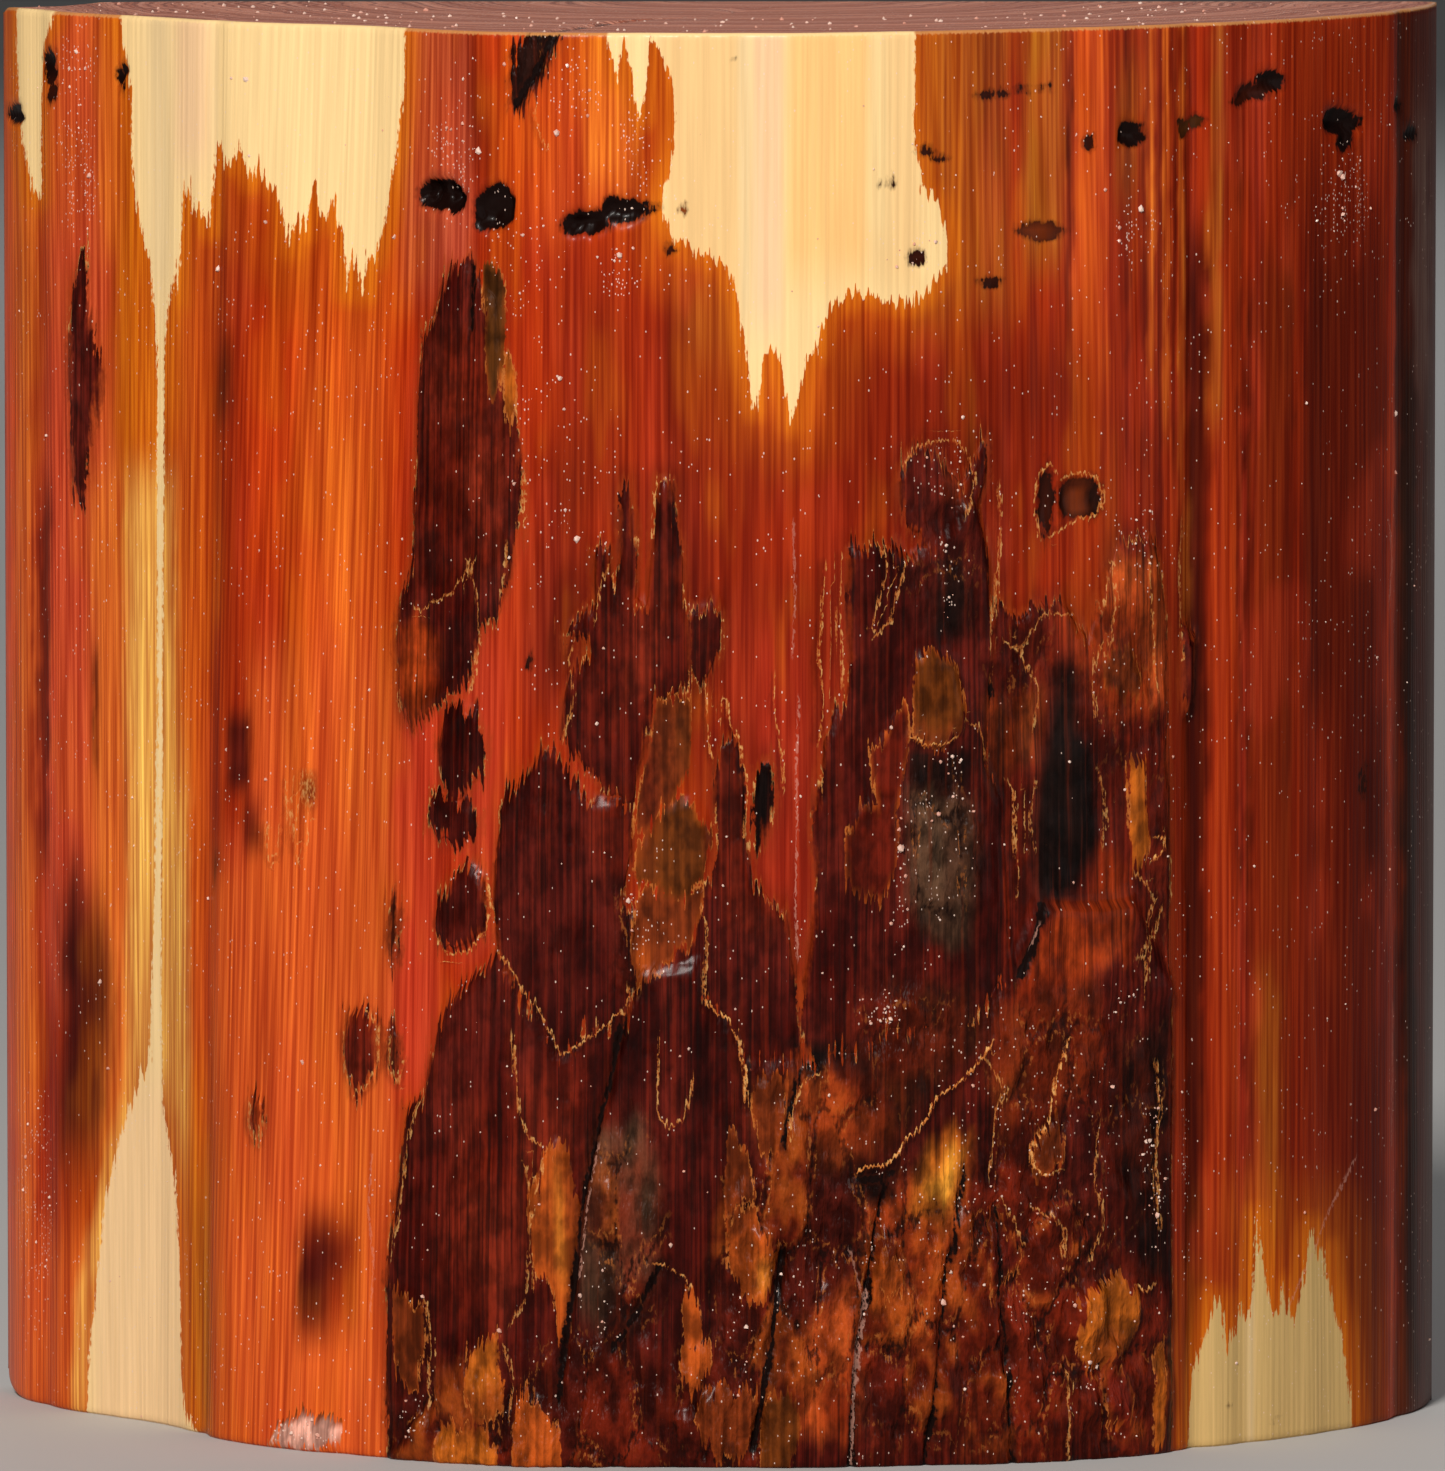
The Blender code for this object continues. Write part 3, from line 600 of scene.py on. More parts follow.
# Golden and brown flakes lying on the bark and at its edges
FLAKES = several(
    Patch,
    (T.FLAKE, (547, 1150, 556, 1138, 570, 1150, 583, 1205, 570, 1330, 562, 1345, 556, 1290, 546, 1270, 540, 1280, 533,
        1250, 530, 1200, 535, 1180, 541, 1185), 0.5),
    (T.FLAKE, (722, 1200, 735, 1212, 752, 1210, 778, 1255, 765, 1305, 752, 1302, 742, 1290, 738, 1275, 728, 1265), 0.5),
    (T.BROWN_FLAKE, (722, 1180, 728, 1130, 735, 1125, 748, 1160, 755, 1205, 735, 1208, 722, 1198), 0.4),
    (T.FLAKE, (690, 1282, 700, 1300, 704, 1330, 700, 1338, 684, 1338, 681, 1310), 0.4),
    (T.FLAKE, (682, 1345, 713, 1340, 712, 1370, 694, 1396, 684, 1385, 678, 1365), 0.5),
    (T.BROWN_FLAKE, (698, 1400, 720, 1388, 748, 1390, 757, 1410, 752, 1440, 735, 1462, 715, 1455, 700, 1440, 695,
        1420), 0.6),
    (T.GOLD_FLAKE, (474, 1350, 500, 1335, 506, 1400, 500, 1425, 480, 1420, 468, 1395), 0.4),
    (T.FLAKE, (524, 1378, 535, 1395, 545, 1400, 562, 1440, 566, 1490, 520, 1490, 515, 1430), 0.4),
    (T.BROWN_FLAKE, (398, 1290, 412, 1290, 428, 1310, 430, 1350, 420, 1385, 405, 1380, 398, 1340), 0.3),
    (T.GOLD_FLAKE, (440, 1430, 470, 1425, 500, 1440, 500, 1490, 440, 1490), 0.3),
    (T.OLIVE, (912, 668, 915, 652, 935, 652, 952, 665, 962, 715, 956, 735, 935, 745, 918, 742, 907, 735), 0.8),
    (T.OLIVE, (638, 850, 668, 805, 690, 800, 705, 820, 712, 840, 700, 885, 680, 895, 640, 886, 636, 870), 0.6),
    (T.BROWN_FLAKE, (655, 705, 690, 700, 690, 780, 680, 785, 672, 800, 640, 840, 634, 830, 650, 750), 0.3),
    (T.BROWN_FLAKE, (638, 892, 702, 892, 704, 910, 694, 940, 672, 962, 650, 980, 638, 985, 630, 940), 0.3),
    (T.GOLD_FLAKE, (1126, 762, 1142, 755, 1146, 850, 1136, 866, 1127, 850, 1124, 800), 0.4),
    (T.GOLD_FLAKE, (1075, 1300, 1105, 1275, 1120, 1280, 1133, 1290, 1132, 1320, 1125, 1345, 1110, 1360, 1085, 1365,
        1070, 1345), 0.6),
    (T.BROWN_FLAKE, (1050, 1117, 1060, 1140, 1059, 1165, 1032, 1176, 1028, 1150), 0.5),
    (T.BROWN_FLAKE, (1102, 655, 1128, 650, 1140, 670, 1138, 700, 1112, 698, 1100, 680), 0.2),
    (T.GOLD_FLAKE, (506, 345, 513, 370, 516, 400, 512, 430, 506, 410), 0.3),
    (T.OLIVE_BROWN, (484, 262, 498, 266, 508, 290, 508, 340, 500, 390, 492, 400, 486, 350), 0.2),
    (T.RED_BARK, (845, 840, 852, 812, 866, 800, 880, 806, 890, 800, 896, 830, 892, 870, 878, 895, 862, 902, 848, 885,
        842, 865), 0.4),
    (T.RED_BARK, (868, 745, 880, 735, 905, 700, 904, 760, 896, 800, 884, 822, 874, 800), 0.3),
    (T.FLAKE, (868, 1290, 872, 1262, 888, 1250, 905, 1262, 900, 1286, 884, 1300), 0.3),
    (T.RED_BARK, (990, 1207, 1020, 1250, 992, 1300, 985, 1260), 0.2),
    (T.PINK_WAX_AND_GLINT, (268, 1441, 280, 1424, 300, 1416, 326, 1419, 341, 1432, 336, 1448, 304, 1452), 0.3),
    (T.RED_BARK, (1102, 1367, 1122, 1372, 1129, 1395, 1122, 1420, 1108, 1426, 1100, 1400), 0.4),
    (T.GOLD_FLAKE, (1150, 1340, 1158, 1340, 1160, 1440, 1150, 1450), 0.2),
    (T.OLIVE, (762, 1395, 790, 1390, 800, 1430, 790, 1480, 758, 1480), 0.3),
    (T.BROWN_FLAKE, (750, 1085, 772, 1075, 790, 1080, 786, 1120, 776, 1160, 758, 1150, 750, 1110), 0.3),
)

# Darker and brighter parts of the flakes
FLAKE_TONES = several(
    Strip,
    (T.BROWN_FLAKE, (575, 1150, 580, 1240), 6, 0.8, 5), (T.BRIGHT_GOLD, (560, 1180, 566, 1270), 4, 0.5, 5),
    (T.BROWN_FLAKE, (730, 1200, 744, 1236), 14, 0.6, 8, 12), (T.BRIGHT_GOLD, (764, 1262, 762, 1290), 7, 0.5, 5, 14),
    (T.BROWN_FLAKE, (640, 830, 650, 880), 10, 0.7, 8), (T.RED_BARK, (712, 820, 712, 870), 8, 0.9, 5),
    (T.OLIVE, (684, 712, 684, 760), 6, 0.8, 5), (T.RED_BARK, (646, 720, 650, 830), 10, 0.6, 8),
    (T.PINK_CREAM, (915, 738, 958, 736), 22, 0.35, 10, 8), (T.BROWN_FLAKE, (940, 725, 940, 745), 30, 0.7, 8, 8),
    (T.FLAKE, (645, 950, 640, 980), 8, 0.9, 5, 12), (T.BROWN_FLAKE, (1110, 1330, 1100, 1370), 24, 0.7, 8, 12),
    (T.BROWN_FLAKE, (488, 1390, 486, 1440), 20, 0.7, 8, 12), (T.BROWN_FLAKE, (700, 1420, 720, 1460), 16, 0.5, 8, 12),
)

KNOTS = several(
    Knot,
    (441, 195, 24, 15, 1.5), (430, 190, 10, 9, 1.0), (455, 200, 11, 12, 1.2), (495, 207, 19, 22, 1.4),
    (484, 222, 10, 9, 0.8), (588, 222, 24, 12, 1.2), (573, 228, 11, 8, 0.8), (625, 211, 22, 11, 1.0),
    (648, 207, 10, 5, 0.8), (612, 206, 8, 10, 0.6), (670, 249, 6, 6, 0.5, T.DARK_BROWN),
    (917, 257, 9, 8, 0.5, T.DARK_BROWN), (49, 68, 8, 18, 0.8), (52, 90, 5, 12, 0.5, T.DARK_BROWN),
    (121, 77, 5, 13, 0.8), (16, 113, 7, 11, 0.8), (1344, 122, 17, 13, 1.1), (1347, 140, 8, 11, 0.6),
    (1272, 82, 14, 11, 0.8), (1254, 92, 16, 8, 0.6, T.DARK_BROWN), (1240, 100, 8, 6, 0.4, T.DARK_BROWN),
    (1132, 134, 14, 12, 0.8), (1090, 143, 6, 8, 0.3, T.DARK_BROWN), (1188, 128, 8, 9, 0.3, T.OLIVE_BROWN),
    (1202, 122, 7, 7, 0.3, T.OLIVE_BROWN), (1042, 231, 22, 9, 0.2, T.BROWN_FLAKE),
    (1056, 233, 7, 4, 0.2, T.DARK_BROWN), (990, 282, 11, 5, 0.2, T.DARK_BROWN), (984, 96, 8, 4, 0.2, T.DARK_BROWN),
    (1001, 92, 8, 4, 0.2, T.DARK_BROWN), (1023, 90, 7, 4, 0.2, T.DARK_BROWN), (1046, 88, 6, 3, 0.2, T.DARK_BROWN),
    (925, 150, 8, 6, 0.2, T.DARK_BROWN), (940, 158, 9, 4, 0.2, T.DARK_BROWN), (1400, 105, 5, 9, 0.6),
    (1412, 132, 4, 8, 0.5), (683, 209, 4, 5, 0.2, T.AMBER_BROWN), (732, 59, 2, 2, 0.1, T.DARK_BROWN),
    (892, 182, 2, 4, 0.1, T.DARK_BROWN), (881, 185, 2, 3, 0.1, T.DARK_BROWN), (530, 660, 3, 7, 0.2, T.DARK_BROWN),
    (988, 690, 4, 8, 0.3), (1363, 780, 3, 14, 0.2, T.DARK_BROWN), (1046, 502, 7, 32, 0.5, T.DARK_BROWN),
    (1080, 497, 18, 20, 0.3, T.BROWN_FLAKE), (1065, 499, 5, 17, 0.4), (1094, 497, 6, 18, 0.4),
    (1078, 484, 10, 4, 0.3, T.DARK_BROWN), (1230, 1405, 2, 2, 0.1, T.AMBER_BROWN),
    (1275, 1419, 2, 2, 0.1, T.AMBER_BROWN),
)

CRACKS = several(
    Trail,
    ((470, 262, 473, 290, 472, 330), 2.4, 0.5),
    ((626, 1016, 609, 1093, 596, 1136, 583, 1206, 576, 1276, 566, 1349, 560, 1400), 2.6, 0.9),
    ((885, 1183, 869, 1266, 855, 1349, 849, 1480), 2.4, 0.9), ((963, 1165, 945, 1263, 935, 1372, 924, 1466), 2.0, 0.7),
    ((994, 1207, 998, 1300, 1005, 1380, 1011, 1470), 1.8, 0.5),
    ((782, 1249, 775, 1300, 768, 1360, 759, 1415, 752, 1450), 3.4, 0.7), ((858, 1180, 876, 1179, 892, 1172), 3.4, 0.6),
    ((556, 30, 540, 62, 515, 108), 3.5, 0.7), ((1040, 905, 1030, 940, 1016, 975), 3.6, 0.5),
    ((663, 1260, 640, 1310, 612, 1350), 3.0, 0.5), ((800, 1070, 790, 1110, 783, 1145), 2.2, 0.4),
)

# Where wax crumbs and crystals gather: x, y, half sizes, strength
CRUMB_SPOTS = (
    (455, 150, 30, 40, 0.8), (498, 230, 16, 14, 1.0), (575, 85, 28, 55, 0.7), (636, 150, 16, 60, 0.8),
    (620, 265, 26, 28, 1.0), (630, 212, 16, 10, 1.0), (910, 252, 34, 24, 0.9), (1137, 230, 26, 34, 0.8),
    (1350, 195, 24, 50, 0.8), (80, 130, 22, 120, 0.8), (35, 1200, 18, 130, 0.7), (304, 1432, 38, 16, 1.0),
    (415, 1415, 16, 26, 1.0), (632, 930, 14, 46, 0.9), (880, 1005, 30, 24, 0.9), (945, 760, 26, 16, 0.9),
    (945, 550, 12, 90, 0.8), (872, 1255, 14, 22, 0.8), (1150, 1160, 16, 90, 0.8), (1190, 1210, 6, 140, 0.5),
    (600, 1320, 26, 60, 0.6), (745, 1330, 18, 60, 0.6), (1085, 1375, 16, 22, 0.8), (1020, 1360, 16, 60, 0.6),
    (515, 250, 30, 70, 0.4), (870, 1462, 24, 12, 1.0), (1110, 690, 26, 40, 0.6), (655, 935, 16, 14, 0.9),
    (520, 1420, 14, 22, 0.7), (1120, 1010, 16, 20, 0.8), (1325, 210, 10, 60, 0.5), (780, 1320, 60, 120, 0.3),
    (1000, 1200, 150, 200, 0.3), (1140, 540, 30, 60, 0.5), (940, 470, 40, 40, 0.6), (560, 480, 60, 160, 0.25),
    (897, 870, 9, 130, 0.8), (942, 850, 34, 110, 0.5),
)

# Where the bark is crumbled: x, y, half sizes, strength
CRUST_SPOTS = (
    (628, 1230, 40, 115, 1.0), (600, 1410, 90, 80, 1.0), (490, 1430, 110, 70, 0.9), (745, 1290, 34, 130, 0.9),
    (810, 1250, 80, 170, 1.0), (905, 1310, 80, 160, 1.0), (1020, 1300, 100, 180, 1.0), (1110, 1360, 60, 110, 1.0),
    (1130, 1120, 50, 110, 0.4), (1050, 1060, 70, 90, 0.8), (905, 1030, 60, 50, 0.7), (935, 850, 44, 90, 1.0),
    (720, 1410, 70, 70, 1.0), (630, 940, 22, 60, 0.8), (940, 560, 40, 80, 0.5), (1120, 690, 46, 90, 0.25),
    (1020, 660, 40, 60, 0.5), (528, 66, 24, 40, 0.8), (660, 935, 34, 40, 0.6), (820, 1110, 80, 50, 0.8),
    (1160, 850, 14, 90, 0.5),
)

# Golden threads of torn fibre along the edges of the bark and its flakes
GOLD_THREADS = several(
    Trail,
    ((343, 1030, 344, 1060, 352, 1096, 366, 1088, 379, 1062, 378, 1028, 366, 1008), 1.3),
    ((388, 1036, 390, 1070, 398, 1084, 403, 1060), 1.2), ((247, 1100, 248, 1130, 256, 1144, 262, 1118), 1.1),
    ((475, 560, 455, 590, 425, 610, 415, 606), 1.2),
    ((500, 950, 522, 985, 545, 1020, 563, 1056, 584, 1042, 600, 1030, 626, 1010, 628, 985), 1.4),
    ((515, 1030, 517, 1070, 520, 1110, 535, 1140, 545, 1146), 1.3),
    ((659, 1030, 660, 1080, 659, 1112, 668, 1128, 684, 1118, 692, 1095, 696, 1070), 1.4),
    ((705, 985, 706, 1004, 726, 1018, 738, 1040, 744, 1075, 748, 1115), 1.8),
    ((704, 683, 706, 700, 709, 740, 711, 760), 1.6),
    ((725, 700, 728, 720, 738, 740, 744, 780, 746, 800, 744, 838), 1.6),
    ((776, 670, 774, 700, 780, 740, 783, 790), 1.3), ((825, 560, 822, 610, 818, 660, 822, 700, 816, 745), 1.5),
    ((840, 550, 838, 620, 842, 690), 1.1), ((998, 480, 1000, 540, 992, 610, 986, 650), 1.1),
    ((1186, 520, 1183, 580, 1184, 640), 1.0), ((287, 780, 288, 812, 292, 840, 300, 865), 1.1),
    ((268, 822, 265, 848, 270, 862, 277, 852, 279, 826), 1.1),
    ((305, 770, 303, 800, 308, 818, 313, 800, 312, 772), 1.0), ((308, 818, 306, 850), 1.0),
    ((488, 876, 494, 905, 486, 930, 466, 952, 446, 954, 436, 930), 1.8),
    ((907, 736, 920, 744, 940, 744, 955, 736), 2.2), ((1150, 862, 1160, 850, 1162, 835, 1152, 838), 2.0),
    ((1098, 770, 1104, 800, 1100, 850), 1.0), ((1032, 780, 1028, 820, 1034, 850), 1.0),
    ((1130, 870, 1142, 885, 1150, 900, 1142, 940, 1130, 960), 1.2), ((1000, 1200, 1010, 1225, 1022, 1245), 1.2),
    ((548, 1150, 544, 1180, 538, 1210, 532, 1250, 540, 1280), 1.2),
    ((528, 1160, 534, 1200, 530, 1260, 526, 1300, 512, 1325), 1.0), ((535, 110, 540, 130, 548, 150), 1.2),
    ((1075, 615, 1045, 612, 1030, 630, 1022, 650), 1.1), ((880, 545, 886, 570, 878, 600, 868, 630), 1.3),
    ((905, 556, 896, 590, 888, 620, 872, 638), 1.4), ((500, 600, 510, 560, 512, 540), 1.2),
    ((470, 560, 478, 600, 480, 640, 470, 690), 1.2), ((612, 560, 600, 590, 596, 620), 1.2),
    ((575, 640, 568, 660, 575, 690, 566, 740), 1.2), ((700, 905, 706, 930, 704, 985), 1.3),
    ((1005, 780, 1014, 790, 1016, 820, 1012, 900), 1.3), ((960, 720, 975, 725, 985, 760), 1.2),
    ((1000, 640, 1020, 650, 1036, 690, 1030, 740), 1.2), ((1110, 560, 1114, 600, 1106, 650), 1.2),
    ((1148, 560, 1152, 620, 1156, 690), 1.3), ((1100, 640, 1090, 680, 1098, 720), 1.2),
    ((1160, 900, 1152, 930, 1140, 960, 1136, 1000), 1.3), ((820, 1070, 800, 1085, 792, 1110, 788, 1145), 1.4),
    ((985, 1060, 1000, 1090, 990, 1130, 985, 1180), 1.3), ((1095, 1120, 1090, 1170, 1098, 1220, 1085, 1260), 1.3),
    ((1152, 1060, 1155, 1110, 1150, 1170, 1154, 1230), 1.3), ((1025, 1205, 1045, 1215, 1060, 1230, 1056, 1260), 1.3),
    ((1062, 1370, 1066, 1410, 1060, 1465), 1.5), ((655, 1262, 668, 1266, 684, 1276, 690, 1290), 1.4),
    ((430, 1300, 436, 1350, 430, 1410), 1.2), ((505, 1340, 515, 1380, 510, 1420), 1.2),
    ((420, 1100, 410, 1150, 402, 1200, 396, 1260), 1.2),
)

# Crisp rims, which no fibres fray: the ledge over the crust, a flake beside it, two knots
LEDGES = several(
    Trail,
    ((856, 1173, 865, 1165, 881, 1166, 889, 1160, 897, 1153, 903, 1138, 914, 1131, 924, 1117, 931, 1100, 937, 1093,
        948, 1088, 959, 1079, 968, 1070, 981, 1055, 988, 1040), 2.6),
    ((1065, 1037, 1056, 1060, 1052, 1078, 1047, 1116, 1036, 1134, 1027, 1147, 1029, 1166, 1040, 1175, 1059, 1168), 1.9),
    ((1130, 1284, 1140, 1290, 1150, 1282), 2.0), ((1040, 540, 1034, 505, 1039, 474, 1050, 464, 1057, 474), 1.5),
    ((1062, 480, 1080, 472, 1098, 478, 1104, 497, 1098, 514, 1074, 522, 1050, 536), 1.5),
    ((903, 466, 912, 450, 930, 442, 955, 440, 970, 456, 972, 486, 959, 520), 1.2),
)

# Pale scratches and runs of wax, and painted glints in rows down the ridges near x 795
PALE_THREADS = several(
    Trail,
    ((866, 1290, 859, 1340, 853, 1400, 850, 1465), 1.4), ((600, 1140, 589, 1206, 581, 1276), 1.3),
    ((1036, 920, 1026, 948), 1.4), ((799, 695, 796, 760, 797, 830, 795, 900, 797, 960), 1.1),
    ((1355, 1158, 1330, 1215, 1305, 1272, 1289, 1308), 1.0), ((372, 1150, 368, 1210, 374, 1270, 369, 1320), 0.7),
    ((1390, 520, 1394, 560, 1390, 610), 0.9), ((793, 520, 795, 600, 792, 660), 0.8),
    ((849, 1250, 862, 1300, 852, 1370, 850, 1440), 0.9), ((1396, 1000, 1395, 1070, 1393, 1150), 0.8),
)


@dataclass
class SurfaceMap:
    """Where each place of the round side lies in the view, and what is there."""

    section: LogSection
    view: LogView
    lowest: float = 1468.0
    margin: float = 0.3
    seen_angles: tuple[float, float] = (-80.0, 86.0)
    rounds: int = 4
    line_reach: float = 12.0
    plate_size: tuple[float, float] = (48.0, 112.0)

    def picture(self, angle: Array, level: Array) -> tuple[Array, Array]:
        """Picture place of the bare round side, carried on past both silhouettes.

        Args:
            angle: Column angles in degrees, growing.
            level: Heights of the rows.

        Returns:
            Picture x and y, each a grid of rows by columns.
        """
        turned, raised = np.meshgrid(angle, level)
        bare = self.section.settle(self.section.skin(turned, raised, 0.0).reshape(-1, 3))
        seen = self.view.project(bare).reshape(*turned.shape, 2)
        u, v = seen[..., 0], seen[..., 1]
        steps = np.hypot(*np.diff(bare.reshape(*turned.shape, 3)[..., :2], axis=1).transpose(2, 0, 1))
        arc = np.concatenate([np.zeros((len(level), 1)), np.cumsum(steps, 1)], 1) / UNIT
        left = np.argmin(u, 1)[:, None]
        at_left = np.take_along_axis(arc, left, 1)
        past = np.arange(len(angle))[None, :] < left
        u = np.where(past, np.take_along_axis(u, left, 1) - (at_left - arc), u)
        return u, v

    def locate(self, u: Array, v: Array) -> tuple[Array, Array]:
        """Angle and height of the round side that shows at picture places."""
        table = np.linspace(*self.seen_angles, 333)
        top = self.section.height - self.margin
        level = np.clip((self.lowest - v) * UNIT, self.margin, top)
        angle = np.zeros_like(level)
        for _ in range(self.rounds):
            for index, height in enumerate(level):
                seen = self.view.project(self.section.skin(table, np.array(height), 0.0))
                angle[index] = np.interp(u[index], seen[:, 0], table)
            here = self.view.project(self.section.skin(angle, level, 0.0))
            level = np.clip(level + (here[:, 1] - v) * UNIT, self.margin, top)
        return angle, level

    def paint(self, base: Tone, layers: tuple, u: Array, v: Array) -> Array:
        """Layer soft stripes or patches of colour over a base tone."""
        colour = np.tile(np.array(base.linear), (len(u), 1))
        for layer in layers:
            colour += layer.share(u, v)[:, None] * (np.array(layer.tone.linear) - colour)
        return colour

    def deepest(self, shapes: tuple, u: Array, v: Array) -> Array:
        """Signed distance to the nearest of several shapes, positive inside."""
        return np.max([shape.depth_inside(u, v) for shape in shapes], axis=0)

    def spots(self, places: tuple, u: Array, v: Array) -> Array:
        """Soft round spots, the strongest where they meet."""
        made = np.zeros_like(u)
        for x, y, half_width, half_height, strength in places:
            gap = np.hypot((u - x) / half_width, (v - y) / half_height)
            made = np.maximum(made, strength * ease(-gap, -1.25, -0.55))
        return made

    def lines(self, trails: tuple, u: Array, v: Array) -> Array:
        """Signed distance to the nearest of several lines, and where it counts.

        Args:
            trails: The lines.
            u: Picture x of each place.
            v: Picture y of each place.

        Returns:
            Rows of distance in tens of picture units, share, and 0.
        """
        made = np.tile(np.array([2.0, 0.0, 0.0]), (len(u), 1))
        for trail in trails:
            a = pairs(trail.path)
            near = close_by(u, v, a, self.line_reach)
            p = np.stack([u[near], v[near]], -1)
            best, share = np.full(len(p), 20.0), np.zeros(len(p))
            for index, (start, end) in enumerate(zip(a[:-1], a[1:])):
                along = end - start
                raw = ((p - start) @ along) / (along @ along)
                gap = np.hypot(*(p - start - np.clip(raw, 0, 1)[:, None] * along).T)
                side = np.sign(along[0] * (p - start)[:, 1] - along[1] * (p - start)[:, 0])
                past = ((index == 0) & (raw < 0)) | ((index == len(a) - 2) & (raw > 1))
                closer = gap < np.abs(best)
                best = np.where(closer, np.where(side == 0, 1, side) * gap, best)
                share = np.where(closer, np.where(past, 0.0, ease(-gap, -10, -6)), share)
            closer = np.abs(best) / 10 < np.abs(made[near, 0])
            made[near[closer], 0] = best[closer] / 10
            made[near[closer], 1] = share[closer] * min(trail.half_width / 1.6, 1.4)
        return made

    def plates(self, u: Array, v: Array) -> Array:
        """Broken plates of the crust: distance to the plate's edge, its tone, and where its rim is lit."""
        across, along = self.plate_size
        x, y = u / across, v / along
        cell_x, cell_y = np.floor(x).astype(np.int64), np.floor(y).astype(np.int64)
        first, second, tone = np.full(len(u), 9.0), np.full(len(u), 9.0), np.zeros(len(u))
        for step_x, step_y in ((a, b) for a in (-1, 0, 1) for b in (-1, 0, 1)):
            at_x, at_y = cell_x + step_x, cell_y + step_y
            aside, down = 0.5 + 0.42 * scatter(at_x, at_y, 31), 0.5 + 0.42 * scatter(at_x, at_y, 32)
            gap = np.hypot(x - at_x - aside, y - at_y - down)
            closer = gap < first
            second = np.where(closer, first, np.minimum(second, gap))
            tone = np.where(closer, scatter(at_x, at_y, 33), tone)
            first = np.minimum(first, gap)
        lit = ease(Noise.PLATE_LIGHT.at(u, v), -0.1, 0.3)
        return np.stack([(second - first) * across / 20, tone, lit], -1)

    def tints(self, u: Array, v: Array, found: dict) -> None:
        """Cloud the wood, darken it between the bark, gild it by the cream, and tone the crust's plates.

        Args:
            u: Picture x of each place.
            v: Picture y of each place.
            found: The fields, changed here.
        """
        def blend(name: str, share: Array, tone: Tone) -> None:
            """Move a tint towards a tone."""
            found[name] += share[:, None] * (np.array(tone.linear) - found[name])

        cloud, shade = Noise.CLOUD.at(u, v), Noise.SHADE.at(u, v)
        blend("wood_tint", 0.30 * ease(cloud, 0.1, 1.0) * ease(-u, -1396, -1384), T.ROSE)
        blend("wood_tint", 0.22 * ease(-cloud, 0.1, 1.0) * ease(-u, -1180, -1080), T.AMBER)
        near = ease(found["bark"], -3.0, 0.3) * ease(u, 540, 620)
        found["wood_tint"][:, :3] *= ((1 + 0.14 * shade) * (1 - 0.38 * near))[:, None]
        blend("wood_tint", 0.26 * ease(found["cream"], -8.0, -1.0), T.AMBER)
        thin = ease(-u, -215, -195) * ease(v, 380, 480)
        blend("wood_tint", (0.8 - 0.6 * thin) * ease(found["cream"], -2.4, -0.1), T.AMBER)
        depth = 1 + Noise.BARK_CLOUD.at(u, v)
        found["bark_tint"][:, :3] *= np.stack([depth, depth**1.5, depth**1.5], -1)
        tone = found["plate"][:, 1] + 0.4 * found["lump"]
        blend("bark_tint", 0.30 * found["crust"], T.DARK_BROWN)
        blend("bark_tint", 0.45 * found["crust"] * ease(tone, -0.7, 0.3) * ease(v, 940, 1000), T.PLATE)
        blend("bark_tint", 0.38 * found["crust"] * ease(tone, 0.5, 1.1) * ease(v, 1060, 1120), T.GOLD_FLAKE)

    def loosen(self, u: Array, v: Array) -> tuple[Array, Array]:
        """Picture places pushed about, so that knots aren't even."""
        return u + Noise.LOOSE_ACROSS.at(u, v), v + Noise.LOOSE_DOWN.at(u, v)

    def fields(self, u: Array, v: Array) -> dict[str, Array]:
        """Everything the shaders and the relief need at picture places.

        Args:
            u: Picture x of each place.
            v: Picture y of each place.

        Returns:
            One array for each field. Distances are in tens of picture units, positive inside.
        """
        ragged, lower = u + Noise.FRAY.at(u, v), v + Noise.SPIKES.at(u, v)
        bark = self.deepest(BARK, ragged, lower)
        flake = self.deepest(FLAKES, ragged, lower)
        pit = np.maximum(self.deepest(KNOTS, *self.loosen(u, v)), self.deepest(CRACKS, ragged, v))
        torn, crisp = self.lines(GOLD_THREADS, ragged, v), self.lines(LEDGES, u, v)
        found = {
            "wood_tint": self.paint(T.BASE, WOOD_STRIPS, ragged, v),
            "cream_tint": self.paint(T.CREAM, CREAM_STRIPS, u, v),
            "bark_tint": self.paint(T.MAROON, BARK + BARK_TONES, ragged, lower),
            "flake_tint": self.paint(T.FLAKE, FLAKES + FLAKE_TONES, ragged, lower),
            # Black wherever no knot's tone is painted: painted shade in the holes and cracks
            "pit_tone_and_shade": self.paint(T.BLACK, KNOTS, u, v),
            "cream": self.deepest(CREAM, u, v) / 10,
            "bark": bark / 10,
            "flake": flake / 10,
            "pit": pit / 10,
            "crust": self.spots(CRUST_SPOTS, u, v) * ease(bark, -4, 6),
            "crumbs": self.spots(CRUMB_SPOTS, u, v),
            "gold_line": np.where(np.abs(crisp[:, :1]) < np.abs(torn[:, :1]), crisp, torn),
            "pale_line": self.lines(PALE_THREADS, u, v),
            "plate": self.plates(ragged, lower),
            "sway": Noise.SWAY.at(u, v),
            "lump": Noise.LUMPS.at(u, v),
        }
        self.tints(u, v, found)
        return found

